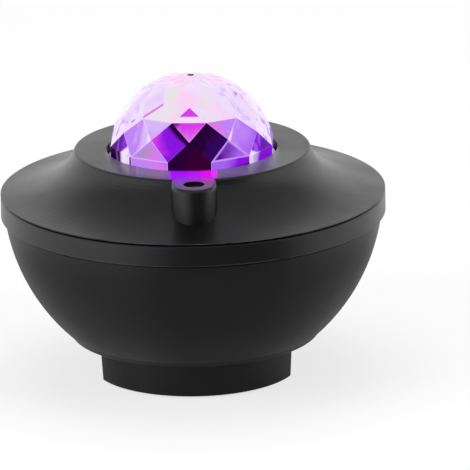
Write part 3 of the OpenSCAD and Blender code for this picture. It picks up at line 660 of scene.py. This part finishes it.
@dataclass(frozen=True)
class Sweep:
    """A straight change across a facet.

    Attributes:
        aim: Its direction in degrees, 0 to the facet's right and 90 to its top.
        middle: Where it is half done, from -1 to 1.
        soft: Half its width.
    """

    aim: float = 0.0
    middle: float = 0.0
    soft: float = 0.8

    def done(self, u: np.ndarray, v: np.ndarray) -> np.ndarray:
        """How far the change has gone at each place, 0.5 at its middle."""
        angle = math.radians(self.aim)
        far = u * math.cos(angle) + v * math.sin(angle) - self.middle
        return 0.5 + far / (2 * self.soft)


@dataclass(frozen=True)
class Look:
    """What a facet shows.

    Attributes:
        left: Tint where its sweep begins.
        right: Tint where its sweep ends.
        sweep: The change between them.
        core: Tint of the patch.
        patch: Where the patch is: past a second sweep, inside a smaller copy of the facet of
            this size, or in the frame round such a copy if the size is negative.
        streak: Tint of the fine streaks, which are painted highlights.
        spark: Strength of the streaks.
        swing: How far the soft pattern moves the tints.
        blot: How far a second soft pattern moves the patch.
        edge: How pale the polished edges are, a painted highlight.
    """

    left: Tint
    right: Tint
    sweep: Sweep = Sweep()
    core: Tint = Tint.INK
    patch: Sweep | float = 0.0
    streak: Tint = Tint.WHITE
    spark: float = 0.0
    swing: float = 1.2
    blot: float = 0.6
    edge: float = 0.75

    def row(self, strip: float) -> tuple[float, ...]:
        """The look as one row of numbers, with 1 for a facet's polished edge."""
        return (*self.left.value, *self.right.value, *self.core.value, *self.streak.value,
                self.spark, self.swing, self.blot, strip * self.edge)

    def inside(self, u: np.ndarray, v: np.ndarray, depth: np.ndarray) -> np.ndarray:
        """How far each place is inside the patch, 0.5 at its border."""
        if isinstance(self.patch, Sweep):
            return self.patch.done(u, v)
        return 0.5 + (depth + abs(self.patch) - 1) * math.copysign(8, self.patch)


LOOK_COLOURS = ("tint_left", "tint_right", "tint_core", "tint_streak")
LOOK_NUMBERS = ("spark", "swing", "blot", "strip")


@dataclass(frozen=True)
class DomeGlass:
    """Clear plastic with coloured light behind its facets.

    Attributes:
        rough: Roughness of the polished facets.
        level: Strength of the reflection.
        pale: Colour of the polished edges where the light is strong.
        rim: Colour that a facet takes on when it is seen edge on.
        soft: Waves in a metre and finer layers of the pattern that moves the tints.
        blots: The same of the pattern that moves the patches.
        streaks: The patches that are streaks.
        stretch: How they are stretched.
    """

    rough: float = 0.08
    level: float = 0.04
    # pale: Colour of the painted highlight on the polished edges where the light is strong.
    pale: Colour = (0.93, 0.72, 1.0)
    # rim: Colour of a painted sheen that a facet takes on when it is seen edge on.
    rim: Colour = (0.62, 0.46, 0.9)
    soft: Pair = (120.0, 1.0)
    blots: Pair = (105.0, 1.5)
    # streaks: The patches that are streaks, painted highlights.
    streaks: Patches = (330.0, 1.0, 0.6, 0.68)
    stretch: Colour = (1.0, 1.0, 0.22)

    def build(self, name: str) -> bpy.types.Material:
        """The dome's material.

        A facet shows a bent view of the lamps. Its tint goes from left to right by the sweep
        that is stored in the mesh, moved by a soft pattern, and takes the core's tint in its
        patch, whose border a second soft pattern moves. Streaks, which are painted highlights,
        lie where a third pattern, stretched along the axis, is high. All patterns are read at
        the surface point plus the facet's own shift. The white patches and the pale polished
        edges are painted highlights too, and the rim tint that a facet takes on edge on is a
        painted sheen.

        Args:
            name: The material's name.

        Returns:
            The material.
        """
        shader = Shader(bpy.data.materials.new(name))
        stored = shader.attribute
        left, right, core, fine = (stored(label, "Color") for label in LOOK_COLOURS)
        where = shader.node("VectorMath", {"operation": "ADD"},
                            {0: shader.place(), 1: stored("shift", "Vector")})
        across = stored("across") + (shader.noise(where, *self.soft) - 0.5) * stored("swing")
        seen = shader.mix(across.step(0.0, 1.0), left, right)
        patch = stored("patch") + (shader.noise(where, *self.blots) - 0.5) * stored("blot")
        seen = shader.mix(patch.step(0.0, 1.0), seen, core)
        streak = shader.patches(shader.scaled(where, self.stretch), self.streaks)
        # Streaks: painted highlights.
        seen = shader.mix(streak * stored("spark"), seen, fine)
        glow = shader.node("RGBToBW", None, {0: seen}).step(0.0, 0.5)
        # Pale polished edges: a painted highlight where the glow is strong.
        seen = shader.mix(glow * stored("strip"), seen, self.pale)
        # Painted sheen: seen edge on, the glow turns towards the rim colour.
        turned = shader.node("LayerWeight", None, {"Blend": 0.5}, "Facing").step(0.7, 1.0)
        return shader.finish({
            "Base Color": (0.001, 0.0, 0.0015),
            "Roughness": self.rough,
            "IOR": 1.49,
            "Specular IOR Level": self.level,
            "Emission Color": shader.mix(turned * 0.4, seen, self.rim),
            "Emission Strength": 1.0,
        })


# Looks of the facets. Their white patches, such as the star and glint spots, are painted
# highlights.
T = Tint
EVEN = Sweep(0, 2, 10)
RARE = Sweep(0, 6, 10)
DARK = Look(T.INK, T.NAVY, Sweep(-50, 0.2, 0.5), streak=T.INDIGO, spark=0.15, blot=0)
WINE = Look(T.INK, T.MAROON, Sweep(0, 0, 0.6), blot=0)
FLAME = Look(T.PINK, T.VIOLET, Sweep(-12, -0.45, 0.5), T.INK, Sweep(50, 0.44, 0.12),
             T.INDIGO, 0.12, 1.6, 0.9, 0.4)
FLUTE = Look(T.PINK, T.ORCHID, Sweep(-90, 0.2, 0.6), T.PLUM, Sweep(140, 0.78, 0.2),
             T.MAGENTA, 0.3, 1.2, 1.6, 0.3)
FLAG = Look(T.WHITE, T.WHITE, core=T.PINK, patch=0.63, swing=0.5, blot=0.2, edge=0.3)
PETAL = Look(T.SAGE, T.ORCHID, Sweep(-20, -0.16, 0.3), T.LAVENDER, -0.72, T.LILAC, 0.1, 1.8,
             0.6, 0.5)
WAVE = Look(T.INDIGO, T.LILAC, Sweep(-10, -0.15, 0.8), T.LAVENDER, -0.86, T.VIOLET, 0.2,
            1.6, 0.6, 0.3)
FADE = Look(T.LILAC, T.VIOLET, Sweep(0, 0.1, 0.5), T.INK, Sweep(-62, 0.42, 0.3), blot=0.4)
GLINT = Look(T.WHITE, T.VIOLET, Sweep(0, -0.4, 0.3), T.INK, RARE, T.LAVENDER, 0.4, 2)
STAR = Look(T.VIOLET, T.INDIGO, Sweep(-20, 0.3, 0.7), T.WHITE, Sweep(230, 0.62, 0.1),
            T.LAVENDER, 0.3, 2, 1.5)
NIGHT = Look(T.VIOLET, T.INDIGO, Sweep(-30, 0, 0.7), streak=T.LAVENDER, spark=0.2, swing=2)
DUSK = Look(T.INDIGO, T.VIOLET, Sweep(0, 0.1, 0.4), T.WHITE, Sweep(-42, 0.35, 0.1), T.LILAC,
            0.4, 2, 1.2)
GLEAM = Look(T.INK, T.WHITE, Sweep(0, 0, 0.12), T.INDIGO, Sweep(0, 0.86, 0.05), T.LILAC,
             0.5, 1.5)
ARC = Look(T.LAVENDER, T.LILAC, Sweep(-20, 0.3, 0.9), T.WHITE, Sweep(142, 0.66, 0.05),
           T.MIST, 0.2, edge=0.4)
SAIL = Look(T.LAVENDER, T.MIST, Sweep(12, 0.25, 0.2), T.WHITE, Sweep(8, 0.72, 0.12),
            T.WHITE, 0.2, 0.8, 1.2)
VEIL = Look(T.ORCHID, T.LAVENDER, Sweep(0, -0.1, 0.5), streak=T.MIST, spark=0.3, edge=0.5)
HAZE = Look(T.MIST, T.LAVENDER, Sweep(-60, 0.4, 0.8), streak=T.MIST, spark=0.2, edge=0.4)
MILK = Look(T.LAVENDER, T.ORCHID, Sweep(0, 0.6, 1), T.LILAC, RARE, T.LILAC, 0.1, 1.6, 2)
FROST = Look(T.WHITE, T.CLOUD, EVEN, T.WHITE, RARE, T.LILAC, 0.7, 3, 3, 0.3)
SNOW = Look(T.WHITE, T.ROSE, EVEN, T.MINT, RARE, T.LILAC, 0, 3.2, 4.2, 0.12)
MIST = Look(T.WHITE, T.CLOUD, EVEN, T.WHITE, RARE, T.LAVENDER, 0.3, 3, 4, 0.2)
WEDGE = Look(T.CLOUD, T.WHITE, EVEN, T.ORCHID, Sweep(-45, 0.52, 0.07), T.LILAC, 0, 3, 0.4,
             0.2)


@dataclass
class CrystalDome:
    """The clear dome: belts of corners joined by flat kites and triangles.

    Attributes:
        sides: Facets round the dome.
        turn: Turn of the pattern, in degrees.
        foot_z: Height of the lower edge.
        top_z: Height of the tip.
        belts: Radius and height of the low, mid and high belts, half a step round.
        kites: Height of the corners between them, on the step.
        last: Radius of the corners round the tip, half a step round.
        inner: Radius of the smooth inside.
        inner_z: Height of the inside's centre.
        boss: Radius and lower height of the boss round the shaft.
        bore: Radius of the bore.
        edge: Width of a facet's polished edge.
        drop: How far an edge is rounded off.
        rounds: Rings of faces in a crowned facet.
        towards: How close an inner point is to the corner that it is drawn to, 1 at the corner.
        shifted: How far a facet's patterns may be shifted, in metres.
        fine: Steps of the smooth inside in each side.
    """

    sides: int = 12
    turn: float = -2.5
    foot_z: float = 98.0
    top_z: float = 133.8
    belts: tuple[Pair, ...] = ((36.4, 104.0), (28.7, 119.7), (15.5, 130.6))
    kites: Pair = (112.4, 125.4)
    last: float = 8.2
    inner: float = 33.2
    inner_z: float = 97.6
    boss: Pair = (2.8, 122.0)
    bore: float = 1.47
    edge: float = 0.22
    drop: float = 0.06
    rounds: int = 4
    towards: float = 0.86
    shifted: float = 5.0
    fine: int = 8
    points: list[np.ndarray] = field(default_factory=list)
    places: list[np.ndarray] = field(default_factory=list)
    faces: list[list[int]] = field(default_factory=list)
    looks: list[np.ndarray] = field(default_factory=list)
    count: int = 0

    def belt(self, radius: float, height: float, shift: float) -> np.ndarray:
        """A ring of corners, a whole number of steps round plus a shift, as (sides, 3)."""
        angle = np.radians(self.turn + (np.arange(self.sides) + shift) * 360 / self.sides)
        return np.stack([radius * np.cos(angle), radius * np.sin(angle),
                         np.full(self.sides, height)], axis=1)

    def kite_radius(self, low: Pair, high: Pair, z: float) -> float:
        """The radius half a step round, on the straight line between two belts."""
        along = (z - low[1]) / (high[1] - low[1])
        return (low[0] + (high[0] - low[0]) * along) / math.cos(math.pi / self.sides)

    def inset(self, corners: np.ndarray) -> np.ndarray:
        """Facets drawn in by the width of their edges.

        Each corner moves in the facet's plane along the two inward edge normals, by the edge's
        width over one plus their cosine, so that all sides move in by the same width.

        Args:
            corners: Facets as (facets, corners, 3), against the clock from outside.

        Returns:
            The inner corners, of the same shape.
        """
        ahead = np.roll(corners, -1, axis=1) - corners
        ahead /= np.linalg.norm(ahead, axis=2, keepdims=True)
        face = np.cross(ahead[:, :1], ahead[:, 1:2])
        face /= np.linalg.norm(face, axis=2, keepdims=True)
        inward = np.cross(face, ahead)
        before = np.roll(inward, 1, axis=1)
        cosine = (inward * before).sum(axis=2, keepdims=True)
        return corners + self.edge * (inward + before) / (1 + cosine)

    def facets(self, corners: np.ndarray, looks: list[Look], seed: int, apex: int = -1,
               rise: float = 0.0) -> None:
        """Adds a ring of like facets, each with its polished edges.

        A facet is a set of rings that shrink to an inner point, inside a frame of edge strips
        whose outer corners are pulled towards the dome's centre. A place in it has a u, from -1
        at the facet's left to 1 at its right, a v, the same upward, and a depth, 0 at its edges
        and 1 at the inner point. A crowned facet is lifted by its rise times depth times two
        minus depth.

        Args:
            corners: The facets as (facets, corners, 3), against the clock from outside.
            looks: What each facet shows, from the front one on, repeated all round.
            seed: Start of the facets' random shifts, or 0 to let the patterns run on from
                facet to facet.
            apex: The corner that the inner point is close to, or -1 for none.
            rise: How far the middle is lifted, 0 for a flat facet.
        """
        n = corners.shape[1]
        rings = self.rounds if rise else 1
        share = np.arange(rings)[None, :, None, None] / rings
        inner = self.inset(corners)[:, None]
        centre = corners.mean(axis=1, keepdims=True)
        heart = centre
        if apex >= 0:
            heart = centre * (1 - self.towards) + corners[:, apex:apex + 1] * self.towards
        lift = self.outward(heart) * rise
        levels = inner + (heart[:, None] - inner) * share + lift[:, None] * share * (2 - share)
        rows = np.concatenate([
            corners - self.drop * self.outward(corners),
            levels.reshape(self.sides, rings * n, 3),
            heart + lift,
        ], axis=1)
        around = np.stack([-centre[..., 1], centre[..., 0], np.zeros_like(centre[..., 0])],
                          axis=2)
        around /= np.linalg.norm(around, axis=2, keepdims=True)
        away = rows - centre
        u = (away * around).sum(axis=2)
        u = u / np.abs(u).max(axis=1, keepdims=True)
        v = away[:, :, 2] / np.abs(away[:, :, 2]).max(axis=1, keepdims=True)
        depth = np.concatenate([np.zeros(n), np.repeat(share.ravel(), n), [1.0]])

        front = int((270 - self.turn) / 360 * self.sides - 0.5)
        chosen = [looks[(k - front) % len(looks)] for k in range(self.sides)]
        across = np.stack([look.sweep.done(u[k], v[k]) for k, look in enumerate(chosen)])
        patch = np.stack([look.inside(u[k], v[k], depth) for k, look in enumerate(chosen)])
        i = np.arange(n)
        j = (i + 1) % n
        strips = np.stack([i, j, n + j, n + i], axis=1)
        bands = (strips[None] + np.arange(1, rings)[:, None, None] * n).reshape(-1, 4)
        fan = np.stack([rings * n + i, rings * n + j, np.full(n, (rings + 1) * n)], axis=1)
        random = np.random.default_rng(seed)
        shifts = random.uniform(-self.shifted, self.shifted, (self.sides, 3)) * (seed > 0)
        tables = [np.hstack([[look.row(strip) for look in chosen], shifts])
                  for strip in (0.0, 1.0)]
        starts = self.count + np.arange(self.sides)[:, None, None] * rows.shape[1]
        for block, table in ((fan, tables[0]), (bands, tables[0]), (strips, tables[1])):
            self.faces += (starts + block).reshape(-1, block.shape[1]).tolist()
            self.looks.append(np.repeat(table, len(block), axis=0))
        self.points.append(rows.reshape(-1, 3))
        self.places.append(np.stack([across, patch], axis=2).reshape(-1, 2))
        self.count += rows.shape[0] * rows.shape[1]

    def outward(self, points: np.ndarray) -> np.ndarray:
        """Unit vectors from the inside's centre through the points."""
        away = points - np.array([0.0, 0.0, self.inner_z])
        return away / np.linalg.norm(away, axis=-1, keepdims=True)

    def crown(self, high: np.ndarray, last: np.ndarray) -> np.ndarray:
        """The kites round the tip, cut off by the bore.

        The bore cuts each kite along an arc: the radius is constant, and the height is where
        the kite's straight middle line reaches it.

        Args:
            high: The high belt.
            last: The ring of corners round the tip.

        Returns:
            The kites as (sides, 8, 3).
        """
        steps = np.linspace(1.0, 0.0, 5)
        first = np.arctan2(last[:, 1], last[:, 0])
        angle = first[:, None] + steps[None, :] * 2 * math.pi / self.sides
        lean = (self.top_z - high[0, 2]) / np.hypot(high[0, 0], high[0, 1])
        off = angle - (first[:, None] + math.pi / self.sides)
        arc = np.stack([self.bore * np.cos(angle), self.bore * np.sin(angle),
                        self.top_z - lean * self.bore * np.cos(off)], axis=2)
        return np.concatenate([np.stack([last, high, np.roll(last, -1, axis=0)], axis=1), arc],
                              axis=1)

    def shell_inside(self, rim: np.ndarray) -> None:
        """Adds the foot's flat ring, the smooth inside, the boss and the bore.

        The inside is a profile turned about the axis: out of the foot up a sphere's arc, down
        the boss's side, in under it and up the bore.

        Args:
            rim: The lower belt of the outside, (sides, 3).
        """
        turns = self.fine * self.sides
        angle = np.radians(self.turn + 180 / self.sides) + np.arange(turns) * 2 * math.pi / turns
        foot_r = math.sqrt(self.inner ** 2 - (self.foot_z - self.inner_z) ** 2)
        boss_r, boss_z = self.boss
        rise = np.linspace(math.asin((self.foot_z - self.inner_z) / self.inner),
                           math.acos(boss_r / self.inner), 20)
        lean = (self.top_z - self.belts[2][1]) / self.belts[2][0]
        profile = np.array(
            [(foot_r, self.foot_z)]
            + [(self.inner * math.cos(a), self.inner_z + self.inner * math.sin(a))
               for a in rise[1:]]
            + [(boss_r, boss_z), (self.bore, boss_z), (self.bore, self.top_z - lean * self.bore)]
        )
        radius = profile[:, 0][:, None]
        grid = np.stack([radius * np.cos(angle), radius * np.sin(angle),
                         np.broadcast_to(profile[:, 1][:, None], (len(profile), turns))], axis=2)
        share = np.tile(np.arange(self.fine) / self.fine, self.sides)[:, None]
        start = np.repeat(rim, self.fine, axis=0)
        end = np.repeat(np.roll(rim, -1, axis=0), self.fine, axis=0)
        outline = start + (end - start) * share
        rows = np.concatenate([outline[None], grid], axis=0)
        high, wide = rows.shape[:2]
        i, j = np.meshgrid(np.arange(high - 1), np.arange(wide), indexing="ij")
        k = (j + 1) % wide
        quads = np.stack([i * wide + j, (i + 1) * wide + j, (i + 1) * wide + k, i * wide + k],
                         axis=2).reshape(-1, 4)
        self.faces += (quads + self.count).tolist()
        self.looks.append(np.tile([*VEIL.row(0.0), 0.0, 0.0, 0.0], (len(quads), 1)))
        self.points.append(rows.reshape(-1, 3))
        self.places.append(np.zeros((high * wide, 2)))
        self.count += high * wide

    def build(self) -> bpy.types.Object:
        """Makes the dome.

        Returns:
            The dome's object.
        """
        low, mid, high = self.belts
        foot = self.belt(low[0], self.foot_z, 0.5)
        ring_1 = self.belt(low[0], low[1], 0.5)
        kite_1 = self.belt(self.kite_radius(low, mid, self.kites[0]), self.kites[0], 0.0)
        ring_2 = self.belt(mid[0], mid[1], 0.5)
        kite_2 = self.belt(self.kite_radius(mid, high, self.kites[1]), self.kites[1], 0.0)
        ring_3 = self.belt(high[0], high[1], 0.5)
        last_z = high[1] + (self.top_z - high[1]) * (high[0] - self.last) / high[0]
        kite_3 = self.belt(self.last / math.cos(math.pi / self.sides), last_z, 0.0)

        def on(ring: np.ndarray) -> np.ndarray:
            """The ring moved one corner round."""
            return np.roll(ring, -1, axis=0)

        def ring(*corners: np.ndarray) -> np.ndarray:
            """Facets from the corners of each."""
            return np.stack(corners, axis=1)

        self.facets(ring(foot, on(foot), on(ring_1), ring_1),
                    [WINE, FADE, GLINT, DARK, GLEAM, MILK], 1)
        self.facets(ring(ring_1, on(ring_1), on(kite_1)),
                    [WINE, WAVE, STAR, NIGHT, DUSK, PETAL], 2)
        self.facets(ring(ring_1, on(kite_1), ring_2, kite_1),
                    [FLAME, DARK, ARC, FROST, FROST, SAIL], 3)
        self.facets(ring(ring_2, on(kite_1), on(ring_2)),
                    [FLUTE, VEIL, MIST, FROST, FROST, HAZE], 4)
        self.facets(ring(ring_2, on(ring_2), on(kite_2)),
                    [FLAG, SNOW, MIST, MIST, MIST, SNOW], 0, 2, 0.3)
        self.facets(ring(ring_2, on(kite_2), ring_3, kite_2),
                    [SNOW, SNOW, MIST, FROST, MIST, WEDGE], 0, rise=0.8)
        self.facets(ring(ring_3, on(kite_2), on(ring_3)), [SNOW, SNOW, MIST, MIST, MIST, SNOW],
                    0, rise=0.5)
        self.facets(ring(ring_3, on(ring_3), on(kite_3)), [SNOW], 0, rise=0.4)
        self.facets(self.crown(ring_3, kite_3), [SNOW], 0, rise=0.6)
        self.shell_inside(foot)
        return self.mesh("dome_facets")

    def mesh(self, name: str) -> bpy.types.Object:
        """Joins what was added into one object.

        Args:
            name: The object's name.

        Returns:
            The object, at the origin, with its look in attributes.
        """
        data = bpy.data.meshes.new(name)
        data.from_pydata(np.concatenate(self.points) * MM, [], self.faces)
        looks = np.concatenate(self.looks).astype(np.float32)
        colours = looks[:, :12].reshape(-1, 4, 3)
        solid = np.concatenate([colours, np.ones_like(colours[:, :, :1])], axis=2)
        places = np.concatenate(self.places).astype(np.float32)

        def store(label: str, kind: str, domain: str, key: str, values: np.ndarray) -> None:
            """Puts one attribute on the mesh."""
            data.attributes.new(label, kind, domain).data.foreach_set(key, values.ravel())

        for i, label in enumerate(LOOK_COLOURS):
            store(label, "FLOAT_COLOR", "FACE", "color", solid[:, i])
        for i, label in enumerate(LOOK_NUMBERS):
            store(label, "FLOAT", "FACE", "value", looks[:, 12 + i])
        store("shift", "FLOAT_VECTOR", "FACE", "vector", looks[:, -3:])
        for i, label in enumerate(("across", "patch")):
            store(label, "FLOAT", "POINT", "value", places[:, i])
        data.update()
        made = bpy.data.objects.new(name, data)
        bpy.context.scene.collection.objects.link(made)
        return made

    def dress(self, made: bpy.types.Object) -> None:
        """Gives the dome its finish and its place in the frame.

        Args:
            made: The dome's object.
        """
        made.data.materials.append(DomeGlass().build("dome_clear"))
        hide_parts("crystal_dome")
        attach(made, "dome")


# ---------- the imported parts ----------


@dataclass
class PackedParts:
    """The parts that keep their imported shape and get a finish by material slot.

    Attributes:
        special: The finishes that have a pattern of their own.
    """

    special: dict[str, Finish] = field(default_factory=lambda: {
        "housing_black": Housing(),
        "board_green": CircuitBoard(),
        "socket_steel": PortMetal(),
        "shaft_steel": Shafting(),
        "button_black": ButtonCap(),
    })

    def dress(self, skipped: set[str]) -> None:
        """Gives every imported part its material.

        Args:
            skipped: Parts that another piece stands for.
        """
        slots = {row["node"]: row["material_slot"] for row in frame["record"]["subparts"]}
        finishes = {**FINISHES, **self.special}
        made: dict[str, bpy.types.Material] = {}
        for name, part in sorted(frame["nodes"].items()):
            if name in skipped:
                continue
            slot = slots[name]
            if slot not in made:
                made[slot] = finishes[slot].build(slot)
            part.data.materials.clear()
            part.data.materials.append(made[slot])
            LOG.info("%s: %s", name, slot)


# ---------- studio and camera ----------


@dataclass(frozen=True)
class Lamp:
    """A soft square or oblong lamp that the camera doesn't see.

    Attributes:
        name: Its name.
        place: Where it stands.
        size: Its width and height.
        power: Its power in watts.
        colour: Its colour.
        target: The point that it faces.
        mirrored: Whether shiny surfaces show it.
    """

    name: str
    place: Place
    size: Pair
    power: float
    colour: Colour = (1.0, 1.0, 1.0)
    target: Place = (0.0, 0.0, 0.07)
    mirrored: bool = True

    def build(self) -> None:
        """Adds the lamp to the scene."""
        data = bpy.data.lights.new(self.name, "AREA")
        data.shape = "RECTANGLE"
        data.size, data.size_y = self.size
        data.energy = self.power
        data.color = self.colour
        made = bpy.data.objects.new(self.name, data)
        made.location = self.place
        away = Vector(self.place) - Vector(self.target)
        made.rotation_euler = away.to_track_quat("Z", "Y").to_euler()
        made.visible_camera = False
        made.visible_glossy = self.mirrored
        bpy.context.scene.collection.objects.link(made)


@dataclass
class Studio:
    """A pale floor, a pale surrounding that is dim in front, and soft lamps.

    Attributes:
        floor: Half the floor's width.
        floor_colour: The floor's paint.
        ambient: Strength of the even light.
        near: What shiny surfaces see of the floor close by, in front and at the sides.
        far: What they see of it further off.
        reach: Distances from the axis between which one turns into the other.
        room: What they see of the surrounding in front and at the sides.
        overhead: What they see of it straight above.
        turn: Azimuths between which the front ends, in radians from straight ahead.
        lean: How far the front is turned to the right, in radians.
        lamps: The lamps.
        spill: Name, x, height, size, power and colour of the small lamps in front of the dome.
        spill_y: y of their places.
        glow: Azimuth and power of the small lamps round the dome's foot.
        glow_colour: Their colour.
        glow_size: Their width and height.
        glow_ring: Radius and height of their ring.
        floor_share: How far the floor is white to the camera and graded to shiny surfaces.
        above: Sine of the heights between which the surrounding turns into the overhead.
    """

    floor: float = 6.0
    floor_colour: Colour = (0.8, 0.8, 0.8)
    ambient: float = 0.45
    near: Pair = (0.2, 0.3)
    far: Pair = (0.05, 1.0)
    reach: Pair = (0.14, 0.34)
    room: Pair = (0.06, 1.0)
    overhead: float = 0.4
    turn: Pair = (0.32, 1.15)
    lean: float = 0.3
    lamps: tuple[Lamp, ...] = (
        Lamp("lamp_left", (-1.5, -0.7, 1.1), (1.0, 1.0), 17.0, mirrored=False),
        Lamp("lamp_right", (1.5, -0.6, 1.1), (1.0, 1.0), 14.0, mirrored=False),
        Lamp("lamp_top", (0.0, 0.3, 2.0), (1.4, 1.4), 22.0, mirrored=False),
    )
    spill: tuple[tuple[str, float, float, Pair, float, Colour], ...] = (
        ("violet", -0.0063, 0.1032, (0.0082, 0.0046), 0.00058, (0.4, 0.0, 1.0)),
        ("middle", 0.0005, 0.1032, (0.0054, 0.0046), 0.00037, (0.54, 0.0, 1.0)),
        ("magenta", 0.0067, 0.1032, (0.007, 0.0046), 0.00042, (0.86, 0.0, 1.0)),
        ("pale", 0.0, 0.1099, (0.0196, 0.0052), 0.00032, (0.7, 1.0, 0.68)),
    )
    spill_y: float = -0.0366
    glow: tuple[tuple[int, float], ...] = (
        (-100, 0.00009), (-76, 0.00011), (-52, 0.00014), (-28, 0.00018),
        (28, 0.00016), (52, 0.00017), (76, 0.00015), (100, 0.0001),
    )
    glow_colour: Colour = (0.72, 0.6, 1.0)
    glow_size: Pair = (0.0162, 0.0044)
    glow_ring: Pair = (0.0367, 0.1032)
    floor_share: Pair = (0.72, 0.96)
    above: Pair = (0.35, 0.65)

    def build(self) -> None:
        """Makes the floor, the surrounding and the lamps."""
        self.build_floor()
        self.build_world()
        for lamp in self.lamps:
            lamp.build()
        for name, x, z, size, power, colour in self.spill:
            Lamp(f"spill_{name}", (x, self.spill_y, z), size, power, colour, (x, -1.0, z)).build()
        radius, z = self.glow_ring
        for azimuth, power in self.glow:
            x, y = math.sin(math.radians(azimuth)), -math.cos(math.radians(azimuth))
            Lamp(f"glow_{azimuth}", (x * radius, y * radius, z), self.glow_size, power,
                 self.glow_colour, (x, y, z)).build()

    def graded(self, shader: Shader, where: Wire, levels: Pair) -> Wire:
        """A level that changes from straight in front to the sides and the back.

        Args:
            shader: The material in hand.
            where: A point or a direction.
            levels: The level in front and at the sides.

        Returns:
            The level at that azimuth.
        """
        x, y, _ = shader.axes(where)
        azimuth = shader.node("Math", {"operation": "ARCTAN2"}, {0: x, 1: y * -1.0})
        front, side = levels
        return abs(azimuth - self.lean).step(*self.turn) * (side - front) + front

    @staticmethod
    def rays(shader: Shader) -> tuple[Wire, Wire]:
        """Whether the ray is the camera's own, and whether it is one that was mirrored."""
        camera, glossy, through = (shader.node("LightPath", output=f"Is {kind} Ray")
                                   for kind in ("Camera", "Glossy", "Transmission"))
        return camera, glossy + through

    def build_floor(self) -> None:
        """The floor, a flat square seen from above only."""
        corners = np.array([(-1, -1), (1, -1), (1, 1), (-1, 1)]) * self.floor
        data = bpy.data.meshes.new("floor")
        data.from_pydata(np.column_stack([corners, np.zeros(4)]), [], [(0, 1, 2, 3)])
        made = bpy.data.objects.new("floor", data)
        bpy.context.scene.collection.objects.link(made)
        shader = Shader(bpy.data.materials.new("floor_paint"))
        camera, mirrored = self.rays(shader)
        x, y, _ = shader.axes(shader.place())
        close = 1.0 - ((x * x + y * y) ** 0.5).step(*self.reach)
        near = self.graded(shader, shader.place(), self.near)
        far = self.graded(shader, shader.place(), self.far)
        level = near * close + far * (1.0 - close)
        paint = shader.node("BsdfDiffuse", None, {"Color": self.floor_colour})
        grey = shader.node("CombineColor", None, {0: level, 1: level, 2: level})
        seen = shader.mix(mirrored, (1.0, 1.0, 1.0), grey)
        white = shader.node("Emission", None, {"Color": seen, "Strength": 1.0})
        clear = shader.node("BsdfTransparent")
        to_camera, to_mirror = self.floor_share
        share = camera * to_camera + mirrored * to_mirror
        top = shader.node("MixShader", None, {0: share, 1: paint, 2: white})
        below = shader.node("NewGeometry", output="Backfacing")
        shader.close(shader.node("MixShader", None, {0: below, 1: top, 2: clear}))
        data.materials.append(shader.owner)

    def build_world(self) -> None:
        """White where it is seen, a plain level where it lights, graded where it is mirrored."""
        world = bpy.data.worlds.new("surrounding")
        bpy.context.scene.world = world
        shader = Shader(world)
        camera, mirrored = self.rays(shader)
        ways = shader.node("TexCoord", output="Generated")
        _, _, up = shader.axes(ways)
        high = up.step(*self.above)
        graded = self.graded(shader, ways, self.room) * (1.0 - high) + high * self.overhead
        level = camera + mirrored * graded + (1.0 - camera) * (1.0 - mirrored) * self.ambient
        light = shader.node("Background", None, {"Color": (1.0, 1.0, 1.0), "Strength": level})
        shader.close(light, "World")


@dataclass
class Viewpoint:
    """The camera: a long lens from the front, a little above.

    Attributes:
        target: The point on the object's axis that the view turns about.
        distance: From the target to the camera.
        elevation: Degrees above the horizon.
        azimuth: Degrees that it stands to the right of straight ahead.
        roll: Degrees that the camera leans.
        lens: Focal length, in millimetres.
        aside: How far the object stands left of the middle, as a share of the width.
    """

    target: Place = (0.0, 0.0, 0.06076)
    distance: float = 3.5
    elevation: float = 16.814
    azimuth: float = -0.47
    roll: float = -1.147
    lens: float = 613.12
    aside: float = 0.0877

    def build(self) -> None:
        """Makes the camera and makes it the scene's own."""
        data = bpy.data.cameras.new("camera")
        data.lens = self.lens
        data.clip_start, data.clip_end = 0.1, 50.0
        made = bpy.data.objects.new("camera", data)
        rise = math.radians(self.elevation)
        back = Vector((0.0, -math.cos(rise), math.sin(rise)))
        pan = -math.atan(self.aside * data.sensor_width / self.lens)
        round_axis = Matrix.Rotation(math.radians(self.azimuth), 3, "Z")
        turn = (
            round_axis
            @ Euler((math.pi / 2 - rise, 0.0, 0.0)).to_matrix()
            @ Matrix.Rotation(math.radians(self.roll), 3, "Z")
            @ Matrix.Rotation(pan, 3, "Y")
        )
        made.matrix_world = Matrix.Translation(
            Vector(self.target) + round_axis @ back * self.distance) @ turn.to_4x4()
        bpy.context.scene.collection.objects.link(made)
        bpy.context.scene.camera = made


def main() -> None:
    """Builds everything in order."""
    logging.basicConfig(level=logging.INFO, format="%(message)s")
    bpy.context.scene.view_settings.view_transform = "Standard"
    Viewpoint().build()
    Studio().build()
    dome = CrystalDome()
    dome.dress(dome.build())
    LOG.info("dome_facets: %d faces", len(dome.faces))
    PackedParts().dress({"crystal_dome"})


if __name__ == "__main__":
    main()
